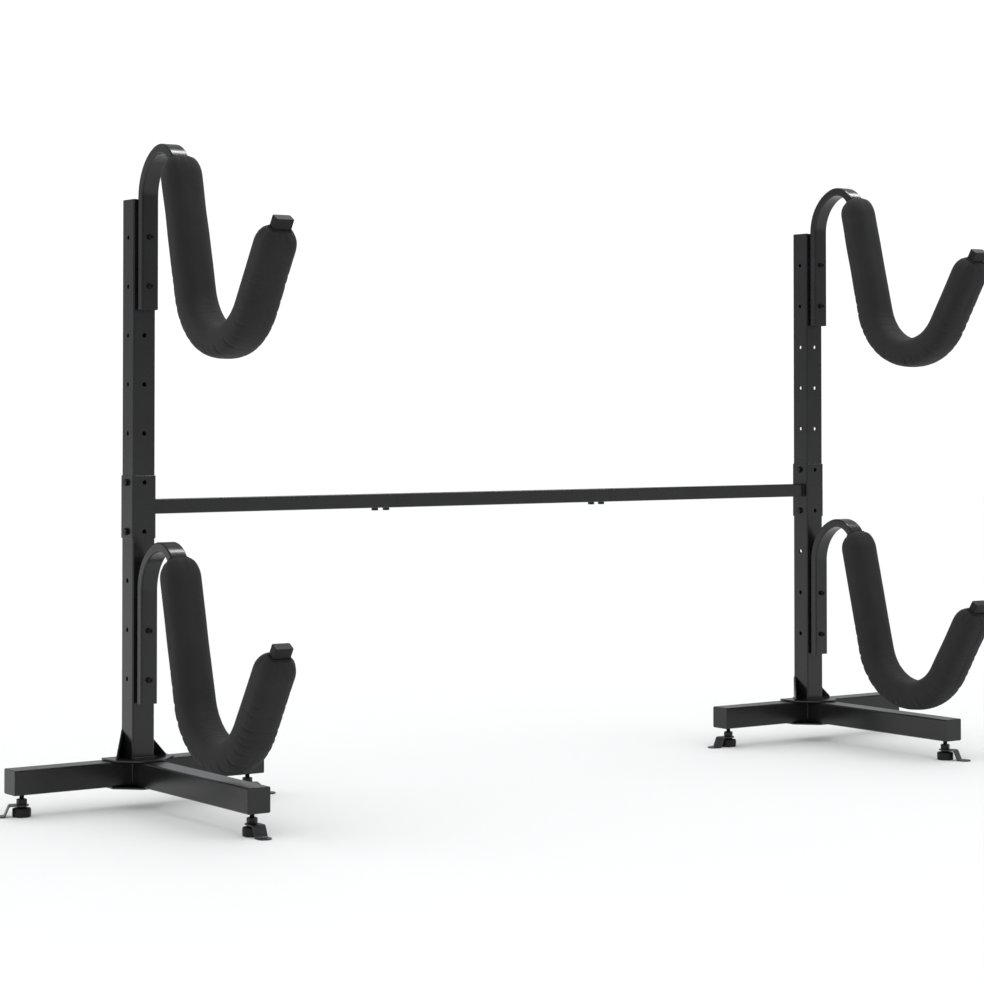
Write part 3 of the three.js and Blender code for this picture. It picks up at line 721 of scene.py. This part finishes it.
for tag, x in SIDES:
    sx = -1 if x > 0 else 1
    xf = x + sx * (SLEEVE_W / 2 + .4)
    h = BAR / 2 + .3
    w = Shape().add(*bead([(xf, Y(-h), BAR_Z - h), (xf, Y(h), BAR_Z - h), (xf, Y(h), BAR_Z + h), (xf, Y(-h), BAR_Z + h)], 1.9, seed=31 + sx, closed=True))
    make(f"bar_weld_{tag}", w, POWDER, weighted=False, angle=80)

jn = 0
for holes in (LEFT_HOLES, RIGHT_HOLES):
    for hx in holes:
        jn += 1
        z0 = BAR_Z - BAR / 2
        sh = Shape().add(*hex_body("z", 13, z0 - GAP - 5.6, z0 - GAP - 0.5, (hx, Y(0), 0), (True, False)))
        sh.add(*turned([(0, z0 - GAP - .6), (6.1, z0 - GAP - .6), (6.2, z0 - GAP - .1), (0, z0 - GAP)], (hx, Y(0), 0), n=36))
        sh.add(*turned([(0, z0 - GAP - 1), (4, z0 - GAP - 1), (4, z0 + 8.4), (3.3, z0 + 9), (0, z0 + 9)], (hx, Y(0), 0), n=24))
        make(f"bar_screw_{jn}", sh, HARDWARE, stands_for=(f"crossbar_bolt_{jn}",))

for tag, x in SIDES:
    for row, z in (("low", 558.5), ("high", 658.5)):
        f0 = SLEEVE_W / 2 + GAP
        at = (x, Y(0), z)
        sh = Shape().add(*hex_body("x", 13, -f0 - 5.3, -f0 - 0.5, at, (True, False)))
        sh.add(*turned([(0, -f0 - .6), (6.1, -f0 - .6), (6.2, -f0 - .1), (0, -f0)], at, n=36, axis="x"))
        sh.add(*turned([(0, -f0 - 1), (4, -f0 - 1), (4, f0 + 3), (0, f0 + 3)], at, n=24, axis="x"))
        sh.add(*hex_body("x", 13, f0, f0 + 6.8, at))
        sh.add(*thread("x", 4.0, 1.25, f0 + 2, f0 + 10, at))
        make(f"through_bolt_{tag}_{row}", sh, HARDWARE, stands_for=(f"sleeve_bolt_{tag}_{row}",))


# ---------------------------------------------------------------- J hooks
# centre line in (d, z), z above the hook's lower bolt, heading in degrees from +d towards +z
SEGMENTS = [("line", 228.0), ("arc", 96.5, 90.0, 20.0), ("arc", 55.5, 20.0, -76.0), ("line", 260.0), ("arc", 130.7, -76.0, 58.5), ("line", 195.0)]


def hook_points(step_deg=2.5, step_mm=40.0):
    """[(length, d, z, heading)] along the whole hook."""
    out = []
    d, z, h, l = HOOK_D, -48.5, 90.0, 0.0
    out.append((l, d, z, h))
    for seg in SEGMENTS:
        if seg[0] == "line":
            n = max(1, int(math.ceil(seg[1] / step_mm)))
            for i in range(1, n + 1):
                t = seg[1] * i / n
                out.append((l + t, d + t * math.cos(math.radians(h)), z + t * math.sin(math.radians(h)), h))
            d += seg[1] * math.cos(math.radians(h))
            z += seg[1] * math.sin(math.radians(h))
            l += seg[1]
        else:
            _, R, h0, h1 = seg
            turn = 1 if h1 > h0 else -1
            a0 = math.radians(h0)
            cx, cz = d - turn * R * math.sin(a0), z + turn * R * math.cos(a0)
            n = max(2, int(math.ceil(abs(h1 - h0) / step_deg)))
            for i in range(1, n + 1):
                hh = h0 + (h1 - h0) * i / n
                a = math.radians(hh)
                out.append((l + R * math.radians(abs(hh - h0)), cx + turn * R * math.sin(a), cz - turn * R * math.cos(a), hh))
            l, d, z, h = out[-1]
    return out


def station(x, zb, p):
    _, d, z, h = p
    a = math.radians(h)
    return ((x, Y(d), zb + z), (1, 0, 0), (0, math.sin(a), math.cos(a)))


def forward(p, t):
    l, d, z, h = p
    a = math.radians(h)
    return (l + t, d + t * math.cos(a), z + t * math.sin(a), h)


LINE = hook_points()
TOTAL = LINE[-1][0]
CAP_T = 3.0
hook_loop = rrect(HOOK_W, HOOK_T, 3.2, 8)
hook_inner = rrect(HOOK_W - 3, HOOK_T - 3, 1.7, 8)


def hook_tube(x, zb):
    pts = LINE[:-1] + [forward(LINE[-1], -CAP_T)]
    e = 0.35
    rings = [place(hook_inner, station(x, zb, forward(pts[0], 40))), place(hook_inner, station(x, zb, forward(pts[0], e))),
             place(grow(hook_inner, e), station(x, zb, pts[0])), place(shrink(hook_loop, e), station(x, zb, pts[0])),
             place(hook_loop, station(x, zb, forward(pts[0], e)))]
    rings += [place(hook_loop, station(x, zb, p)) for p in pts[1:]]
    return loft(rings)


for tag, x in SIDES:
    for row, zb in ROWS:
        name = f"{tag}_{row}"
        ob = make(f"hook_tube_{name}", Shape().add(*hook_tube(x, zb)), POWDER, keep=False)
        fix_normals(ob.data)
        boolean(ob, cutter("y", [(x, Y(HOOK_D), zb), (x, Y(HOOK_D), zb + 100)], HOLE_R, 14, HOOK_T / 2, 0.3))
        finish_piece(ob, POWDER, "frame", (f"hook_{name}",), angle=38)
        sh = Shape()
        for z in (zb, zb + 100):
            back, front = Y(TUBE / 2 + GAP), Y(HOOK_D - HOOK_T / 2) - .2
            sh.add(*turned([(4.5, front), (9, front), (9, back - .5), (8.5, back), (5, back), (4.5, back - .5), (4.5, front)], (x, 0, z), n=36, axis="y"))
        make(f"hook_spacers_{name}", sh, POWDER)
        w = Shape()
        for z in (zb, zb + 100):
            yy = Y(HOOK_D - HOOK_T / 2) + .5
            w.add(*bead([(x + 9.3 * math.cos(a), yy, z + 9.3 * math.sin(a)) for a in [2 * math.pi * i / 24 for i in range(24)]], 1.2, seed=int(z), closed=True, step=1.2))
        make(f"hook_spacer_welds_{name}", w, POWDER, weighted=False, angle=80)
        # end cap with a thin skirt over the tube's end and a plug inside it
        tip = LINE[-1]
        cap = Shape()
        prof = [(-CAP_T - 10, 'in', 1.2), (-CAP_T - 9, 'in', 0.25), (-CAP_T + .32, 'in', 0.25), (-CAP_T + .32, 'out', 0.4), (-21.6, 'out', 0.2), (-21.8, 'out', -0.45), (-21.2, 'out', -0.85),
                (-1.6, 'out', -0.85), (-.8, 'out', -0.6), (-.25, 'out', 0.1), (-.05, 'out', 0.9), (0.0, 'out', 1.7)]
        rings = []
        for t, which, inset in prof:
            lp = shrink(hook_inner, inset) if which == 'in' else shrink(hook_loop, inset)
            rings.append(place(lp, station(x, zb, forward(tip, t))))
        cap.add(*loft(rings))
        make(f"hook_end_cap_{name}", cap, CAP, stands_for=(f"hook_cap_{name}",), angle=50)
        for n, z in ((1, zb), (2, zb + 100)):
            front, back = HOOK_D + HOOK_T / 2 + GAP, -TUBE / 2 - GAP
            sh = Shape()
            at = (x, 0, z)
            # small round head with a socket, the shank and the nut behind
            yh = Y(front)
            head = [(0, yh - 2.9), (2.6, yh - 2.95), (2.65, yh - 6.0), (3.1, yh - 6.4), (4.7, yh - 6.5), (5.25, yh - 6.25), (5.5, yh - 5.6), (5.5, yh - .5), (5.3, yh), (0, yh)]
            sh.add(*turned(head, at, n=48, axis="y"))
            sh.add(*turned([(0, yh - 1), (4, yh - 1), (4, Y(back) + 1), (0, Y(back) + 1)][::1], at, n=24, axis="y"))
            sh.add(*hex_body("y", 13, Y(back), Y(back) + 6.8, at))
            sh.add(*thread("y", 4.0, 1.25, Y(back) + 2, Y(back) + 10, at))
            make(f"hook_screw_{name}_{n}", sh, HARDWARE, stands_for=(f"hook_bolt_{name}_{n}",))


# ---------------------------------------------------------------- levelling feet
FEET = []
for tag, x in SIDES:
    sg = -1 if tag == "left" else 1
    FEET.append((f"{tag}_outer", x + sg * FOOT_X, Y(0), 158 if tag == "left" else 22))
    FEET.append((f"{tag}_inner", x - sg * FOOT_X, Y(0), -20 if tag == "left" else 180))
    FEET.append((f"{tag}_front", x, Y(FOOT_D), -90 if tag == "left" else -65))
S_HW, S_T, S_Z, S_REACH, TAB_HOLE = 14.2, 2.4, 21.6, 60.0, 47.0


def strip_midline():
    zc, zf = S_Z + S_T / 2, S_T / 2
    slope = math.atan2(zc - zf, 9)
    r1, r2, k = 5.0, 4.0, math.tan(slope / 2)
    mid = []
    x0 = 25 - r1 * k
    for i in range(13):
        mid.append((-S_HW + (x0 + S_HW) * i / 12, zc, 0.0))
    for i in range(1, 9):
        a = slope * i / 8
        mid.append((x0 + r1 * math.sin(a), zc - r1 + r1 * math.cos(a), -a))
    cx, cz = 34 + r2 * k, zf + r2
    for i in range(0, 9):
        a = slope * (1 - i / 8)
        mid.append((cx - r2 * math.sin(a), cz - r2 * math.cos(a), -a))
    n = 12
    for i in range(1, n + 1):
        mid.append((cx + (S_REACH - cx) * i / n, zf, 0.0))
    return mid


def strip_mesh(name, x, y, deg):
    a = math.radians(deg)
    dx, dy = math.cos(a), math.sin(a)
    mid = strip_midline()
    h = S_T / 2
    # round-cornered section carried along the strip, then cut to its round-ended plan
    sec = rrect(44, S_T, 0.2, 2)
    rings = []
    for k, (d, z, tilt) in enumerate([(-S_HW - 1.5, mid[0][1], 0.0)] + mid + [(S_REACH + 1.5, mid[-1][1], 0.0)]):
        nx, nz = -math.sin(tilt), math.cos(tilt)
        rings.append([(x + (d + t * nx) * dx - s_ * dy, y + (d + t * nx) * dy + s_ * dx, z + t * nz) for s_, t in sec])
    sh = Shape().add(*loft(rings))
    ob = make(name, sh, None, keep=False)
    fix_normals(ob.data)
    plan = []
    for i in range(25):
        b_ = -math.pi / 2 + math.pi * i / 24
        plan.append((S_REACH - S_HW + S_HW * math.cos(b_), S_HW * math.sin(b_)))
    for i in range(25):
        b_ = math.pi / 2 + math.pi * i / 24
        plan.append((S_HW * math.cos(b_), S_HW * math.sin(b_)))
    lo = [(x + p * dx - q * dy, y + p * dy + q * dx, -6) for p, q in plan]
    hi = [(p[0], p[1], 40) for p in lo]
    c = make("cutter", Shape().add(*loft([lo, hi])), None, keep=False)
    fix_normals(c.data)
    boolean(ob, c, "INTERSECT")
    hx, hy = x + TAB_HOLE * dx, y + TAB_HOLE * dy
    sh = Shape().add(*turned([(0, 10), (5.6, 10), (5.6, 40), (0, 40)], (x, y, 0), n=32)).add(*turned([(0, -5), (3.4, -5), (3.4, S_T - .5), (4.1, S_T + .1), (4.1, 9), (0, 9)], (hx, hy, 0), n=28))
    c = make("cutter", sh, None, keep=False)
    fix_normals(c.data)
    boolean(ob, c)
    return ob


for tag, x, y, deg in FEET:
    at = (x, y, 0)
    sh = Shape()
    sh.add(*turned([(0, 12), (4.2, 12.2), (4.8, 13), (4.9, 24.4), (0, 24.4)], at, n=28))
    sh.add(*hex_body("z", 18.5, 24.3, 35.5, at))
    sh.add(*thread("z", 5.0, 1.5, 34.8, 73.0, at, n=22, per=5))
    make(f"levelling_screw_{tag}", sh, HARDWARE, body=f"stud_{tag}", stands_for=(f"foot_stud_{tag}",))
    prof = [(0, 0.25), (13.5, 0.25), (14.2, 0), (16.9, 0), (17.7, .5), (18.35, 1.4), (18.45, 3.0), (18.2, 3.7), (18.2, 4.3), (18.5, 5.0), (18.6, 10), (18.5, 14.6),
            (18.3, 15.8), (17.6, 16.9), (16.4, 17.4), (12.0, 17.75), (10.5, 18.0), (9.8, 18.7), (9.5, 19.8), (9.4, 20.9), (9.1, 21.3), (5.6, 21.3), (5.3, 21.0), (5.3, 11.8), (0, 11.8)]
    make(f"levelling_cup_{tag}", Shape().add(*turned(prof, at, n=64)), RUBBER, body=f"cup_{tag}", stands_for=(f"foot_cup_{tag}",), angle=50)
    ob = strip_mesh(f"tie_strip_{tag}", x, y, deg)
    finish_piece(ob, STEEL, f"strip_{tag}", (f"floor_strip_{tag}",), angle=30, bevel=0.35)


# ---------------------------------------------------------------- padded sleeves
PAD_HEAD, PAD_END, PAD_ROUND = -57.6, 24.5, 38.0
PAD_A, PAD_B, PAD_OFF = 40.2, 34.9, 0.8
PAD_L0 = 228.0 + 96.5 * math.radians(70) + 55.5 * math.radians(20 - PAD_HEAD)
PAD_L1 = TOTAL - PAD_END
PAD_LEN = PAD_L1 - PAD_L0
PATH = np.array([p for p in hook_points(1.0, 4.0) if PAD_L0 - 8 <= p[0] <= PAD_L1 + 8])
BEND0 = 55.5 * math.radians(76 + PAD_HEAD) + 260.0
BEND1 = BEND0 + 130.7 * math.radians(134.5)


def pad_size(s):
    """Half width and half thickness at distance s from the upper mouth."""
    e = max(0.0, min(s, PAD_LEN - s))
    k = math.sqrt(max(0.0, 1 - (1 - min(1, e / PAD_ROUND)) ** 2))
    return 21.6 + (PAD_A - 21.6) * k, 12.2 + (PAD_B - 12.2) * k


def path_at(l):
    return tuple(float(np.interp(l, PATH[:, 0], PATH[:, k])) for k in range(4))


def cushion(w, t, n=84, p=3.0, off=0.0):
    out = []
    for i in range(n):
        a = 2 * math.pi * i / n
        c, s_ = math.cos(a), math.sin(a)
        out.append((w * math.copysign(abs(c) ** (2 / p), c), off + t * math.copysign(abs(s_) ** (2 / p), s_)))
    return out


def pad_start_shape():
    rings = []
    n = int(PAD_LEN / 4)
    ss = [0, 0.8, 2.0, 4.0, 7.0] + [PAD_LEN * j / n for j in range(3, n - 2)] + [PAD_LEN - q for q in (7.0, 4.0, 2.0, 0.8, 0)]
    for s_ in ss:
        w, t = pad_size(s_)
        rings.append(place(cushion(w - 1.0, t - 1.0, off=PAD_OFF), station(0, 0, path_at(PAD_L0 + s_))))
    return Shape().add(*loft(rings))


def locate(co):
    """Each point's place in the sleeve: distance along from the upper mouth, across, and off the middle, in mm."""
    d = Y_POST - co[:, 1] * 1000
    z = co[:, 2] * 1000
    best = np.full(len(co), 1e9)
    s_ = np.zeros(len(co))
    off = np.zeros(len(co))
    for i in range(len(PATH) - 1):
        l0, d0, z0, h0 = PATH[i]
        l1, d1, z1, h1 = PATH[i + 1]
        sd, sz = d1 - d0, z1 - z0
        L2 = sd * sd + sz * sz
        if L2 < 1e-9:
            continue
        t = np.clip(((d - d0) * sd + (z - z0) * sz) / L2, 0, 1)
        pd, pz = d - (d0 + t * sd), z - (z0 + t * sz)
        q = pd * pd + pz * pz
        m = q < best
        L = math.sqrt(L2)
        best[m] = q[m]
        s_[m] = (l0 + t * (l1 - l0) - PAD_L0)[m]
        off[m] = ((-sz * pd + sd * pz) / L)[m]
    return s_, co[:, 0] * 1000, off


def soft_noise(seed, period, lo=0.0, hi=900.0):
    """Smooth random curve, roughly -1 to 1."""
    rnd = np.random.default_rng(seed)
    n = int((hi - lo) / period) + 4
    vals = rnd.uniform(-1, 1, n)

    def f(x):
        t = np.clip((np.asarray(x) - lo) / period, 0, n - 2.001)
        i = t.astype(int)
        u = t - i
        u = u * u * (3 - 2 * u)
        return vals[i] * (1 - u) + vals[i + 1] * u
    return f


def simulate(ob):
    """Lets the cover swell over its filling while its two mouths stay gathered."""
    me = ob.data
    rest = np.array([v.co for v in me.vertices], float)
    s_, x_, off = locate(rest)
    grp = ob.vertex_groups.new(name="pin")
    hold = 0.10 + 0.22 * np.clip(soft_noise(7, 24.0)(s_) * soft_noise(8, 19.0, -120, 120)(x_ + off) * 3, 0, 1)
    for i in range(len(rest)):
        at_mouth = s_[i] < 4 or s_[i] > PAD_LEN - 4
        grp.add([i], 1.0 if at_mouth else float(hold[i]), "REPLACE")
    c = ob.modifiers.new("cloth", "CLOTH")
    st = c.settings
    st.quality = 5
    st.mass = 0.3
    st.tension_stiffness = 12
    st.compression_stiffness = 12
    st.shear_stiffness = 4
    st.bending_stiffness = 0.4
    st.use_pressure = True
    st.uniform_pressure_force = 4.0
    st.vertex_group_mass = "pin"
    st.effector_weights.gravity = 0.0
    c.collision_settings.use_collision = False
    for f in range(1, 19):
        scene.frame_set(f)
    dg = bpy.context.evaluated_depsgraph_get()
    ev = ob.evaluated_get(dg)
    now = np.array([v.co for v in ev.data.vertices], float)
    move = now - rest
    ln = np.linalg.norm(move, axis=1)
    move *= np.minimum(1, 0.0022 / np.maximum(ln, 1e-9))[:, None]
    ob.modifiers.clear()
    ob.vertex_groups.clear()
    me.vertices.foreach_set("co", (rest + move).astype(np.float32).ravel())
    me.update()
    scene.frame_set(1)


def pad_base():
    ob = make("pad_base", pad_start_shape(), None, keep=False)
    fix_normals(ob.data)
    rm = ob.modifiers.new("remesh", "REMESH")
    rm.mode = "VOXEL"
    rm.voxel_size = 0.0042
    dg = bpy.context.evaluated_depsgraph_get()
    me = bpy.data.meshes.new_from_object(ob.evaluated_get(dg))
    ob.modifiers.clear()
    ob.data = me
    simulate(ob)
    sm = ob.modifiers.new("smooth", "SMOOTH")
    sm.factor = 0.5
    sm.iterations = 2
    sub = ob.modifiers.new("fine", "SUBSURF")
    sub.levels = sub.render_levels = 1
    dg = bpy.context.evaluated_depsgraph_get()
    me = bpy.data.meshes.new_from_object(ob.evaluated_get(dg))
    ob.modifiers.clear()
    ob.data = me
    return ob


base = pad_base()
BASE_CO = np.array([v.co for v in base.data.vertices], float)
BASE_S, BASE_X, BASE_OFF = locate(BASE_CO)

for pi, (tag, row, x, zb) in enumerate([(t, r, x, z) for t, x in SIDES for r, z in ROWS]):
    name = f"{tag}_{row}"
    seed = 40 + 11 * pi
    s_, x_, off = BASE_S, BASE_X, BASE_OFF - PAD_OFF
    rad = np.maximum(np.hypot(x_, off), 4.0)
    # angle round the sleeve: 0 on the hollow side of the bend, half a turn on its outside
    around = np.arctan2(x_ / PAD_A, off / PAD_B)
    hollow = np.cos(around)
    e = np.minimum(s_, PAD_LEN - s_)
    ends = np.clip(e / PAD_ROUND, 0, 1)
    bend = np.clip((s_ - BEND0 + 90) / 90, 0, 1) * np.clip((BEND1 + 120 - s_) / 60, 0, 1)
    rnd = random.Random(seed)
    push = 0.8 * ends * soft_noise(seed + 1, 55.0)(s_) * soft_noise(seed + 2, 0.9, -4, 4)(around)
    # the cover puckers in short cross creases along the two outer edges of the bend
    slant = s_ + 3.0 * soft_noise(seed + 3, 0.7, -4, 4)(around) + 1.2 * soft_noise(seed + 4, 0.25, -4, 4)(around)
    outer = np.clip(-0.1 - 1.5 * hollow, 0, 1) * bend * (0.14 + 0.86 * np.clip((np.abs(x_) / PAD_A - 0.55) / 0.33, 0, 1))
    t = BEND0 - 80
    while t < BEND1 + 110:
        t += rnd.uniform(14, 36)
        push = push - outer * rnd.uniform(1.0, 3.2) * np.exp(-((slant - t) / rnd.uniform(2.2, 3.4)) ** 2)
    push = push + 1.0 * outer
    # and lies in a few shallow folds across the hollow of it
    inner = np.clip(hollow - 0.25, 0, 1) * np.clip((s_ - BEND0 + 10) / 50, 0, 1) * np.clip((BEND1 + 10 - s_) / 50, 0, 1)
    t = BEND0 - 10
    while t < BEND1 + 10:
        t += rnd.uniform(16, 30)
        push = push - inner * rnd.uniform(0.2, 0.7) * np.exp(-((slant - t) / rnd.uniform(2.6, 4.0)) ** 2)
    # fine pleats where each mouth is drawn in to the tube
    pleat = np.sin(around * 11 + 2.2 * soft_noise(seed + 5, 0.8, -4, 4)(around) + seed)
    push = push + np.clip(1 - e / 30, 0, 1) * np.clip(e / 5, 0, 1) * 0.75 * pleat
    k = 1 + push / rad
    new_x, new_off = x_ * k, PAD_OFF + off * k
    l = np.clip(s_ + PAD_L0, PATH[0, 0], PATH[-1, 0])
    dd, zz, hh = (np.interp(l, PATH[:, 0], PATH[:, q]) for q in (1, 2, 3))
    ha = np.radians(hh)
    rd, rz = Y_POST - BASE_CO[:, 1] * 1000 - dd, BASE_CO[:, 2] * 1000 - zz
    alongs = rd * np.cos(ha) + rz * np.sin(ha)
    nd = dd + alongs * np.cos(ha) - new_off * np.sin(ha)
    nz = zz + alongs * np.sin(ha) + new_off * np.cos(ha)
    co = np.stack([(new_x + x) * 0.001, (Y_POST - nd) * 0.001, (nz + zb) * 0.001], 1)
    me = base.data.copy()
    me.name = f"pad_{name}"
    me.vertices.foreach_set("co", co.astype(np.float32).ravel())
    lay = np.stack([s_ * 0.001, around * 0.037, off * 0.001], 1)
    att = me.attributes.new("lay", "FLOAT_VECTOR", "POINT")
    att.data.foreach_set("vector", lay.astype(np.float32).ravel())
    me.update()
    ob = bpy.data.objects.new(f"pad_{name}", me)
    scene.collection.objects.link(ob)
    me.polygons.foreach_set("use_smooth", [True] * len(me.polygons))
    me.materials.clear()
    me.materials.append(CLOTH)
    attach(ob, "frame")
    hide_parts(f"hook_pad_{name}")
    # a narrow turned hem lies round the tube at each mouth
    for which, s0 in (("top", -0.6), ("tip", PAD_LEN + 0.6)):
        loop = place(rrect(HOOK_W + 3.4, HOOK_T + 3.4, 4.6, 10), station(x, zb, path_at(PAD_L0 + s0)))
        make(f"pad_hem_{which}_{name}", Shape().add(*bead(loop, 1.9, seed=seed, closed=True, step=1.3, pitch=4.2, sides=10, flat=0.9)), BINDING, weighted=False, angle=80)

bpy.data.objects.remove(base)


# ---------------------------------------------------------------- floor, camera, light
floor = Shape().add([(-14000, -14000, -0.2), (14000, -14000, -0.2), (14000, 14000, -0.2), (-14000, 14000, -0.2)], [[0, 1, 2, 3]])
fme = bpy.data.meshes.new("floor")
fme.from_pydata([(a * .001, b_ * .001, c * .001) for a, b_, c in floor.v], [], floor.f)
floor_ob = bpy.data.objects.new("floor", fme)
scene.collection.objects.link(floor_ob)
fm, nt, b = material("pale_floor")
fac = noise(nt, object_coords(nt), 1.2, 3.0)
nt.links.new(blend_colour(nt, fac, (0.90, 0.90, 0.90), (0.92, 0.92, 0.92)), b.inputs["Base Color"])
b.inputs["Roughness"].default_value = 0.9
b.inputs["Specular IOR Level"].default_value = 0.1
fme.materials.append(fm)

cam = bpy.data.cameras.new("camera")
cam_ob = bpy.data.objects.new("camera", cam)
scene.collection.objects.link(cam_ob)
cam.sensor_width = 36.0
cam.lens = 94.65
cam.shift_y = -0.138
cam.clip_start, cam.clip_end = 0.1, 60
cam_ob.location = (-3.3866, -4.4674, 0.8147)
cam_ob.rotation_euler = (math.radians(91.10), 0, math.radians(-35.27))
scene.camera = cam_ob

world = bpy.data.worlds.new("studio")
scene.world = world
world.use_nodes = True
wn = world.node_tree
wn.nodes.clear()
wout = wn.nodes.new("ShaderNodeOutputWorld")
bg_light = wn.nodes.new("ShaderNodeBackground")
bg_light.inputs["Color"].default_value = (0.97, 0.98, 1.0, 1)
bg_light.inputs["Strength"].default_value = 0.50
bg_fill = wn.nodes.new("ShaderNodeBackground")
bg_fill.inputs["Color"].default_value = (0.99, 0.995, 1.0, 1)
bg_fill.inputs["Strength"].default_value = 1.14
bg_seen = wn.nodes.new("ShaderNodeBackground")
bg_seen.inputs["Color"].default_value = (1, 1, 1, 1)
bg_seen.inputs["Strength"].default_value = 1.05
lp = wn.nodes.new("ShaderNodeLightPath")
mixw = wn.nodes.new("ShaderNodeMixShader")
wn.links.new(lp.outputs["Is Camera Ray"], mixw.inputs[0])
mixd = wn.nodes.new("ShaderNodeMixShader")
wn.links.new(lp.outputs["Is Diffuse Ray"], mixd.inputs[0])
wn.links.new(bg_light.outputs[0], mixd.inputs[1])
wn.links.new(bg_fill.outputs[0], mixd.inputs[2])
wn.links.new(mixd.outputs[0], mixw.inputs[1])
wn.links.new(bg_seen.outputs[0], mixw.inputs[2])
wn.links.new(mixw.outputs[0], wout.inputs["Surface"])


def area(name, loc, target, size, power, size_y=None):
    d = bpy.data.lights.new(name, "AREA")
    d.energy = power
    d.shape = "RECTANGLE"
    d.size = size
    d.size_y = size_y or size
    ob = bpy.data.objects.new(name, d)
    scene.collection.objects.link(ob)
    ob.location = loc
    ob.rotation_euler = (Vector(target) - Vector(loc)).to_track_quat("-Z", "Y").to_euler()
    return ob


area("overhead_strip", (1.5, 0.3, 3.5), (1.5, 0.3, 0.0), 3.7, 95, 0.42).visible_diffuse = False

scene.view_settings.view_transform = "Standard"
scene.view_settings.look = "None"
scene.view_settings.exposure = 0.0
scene.view_settings.gamma = 1.0
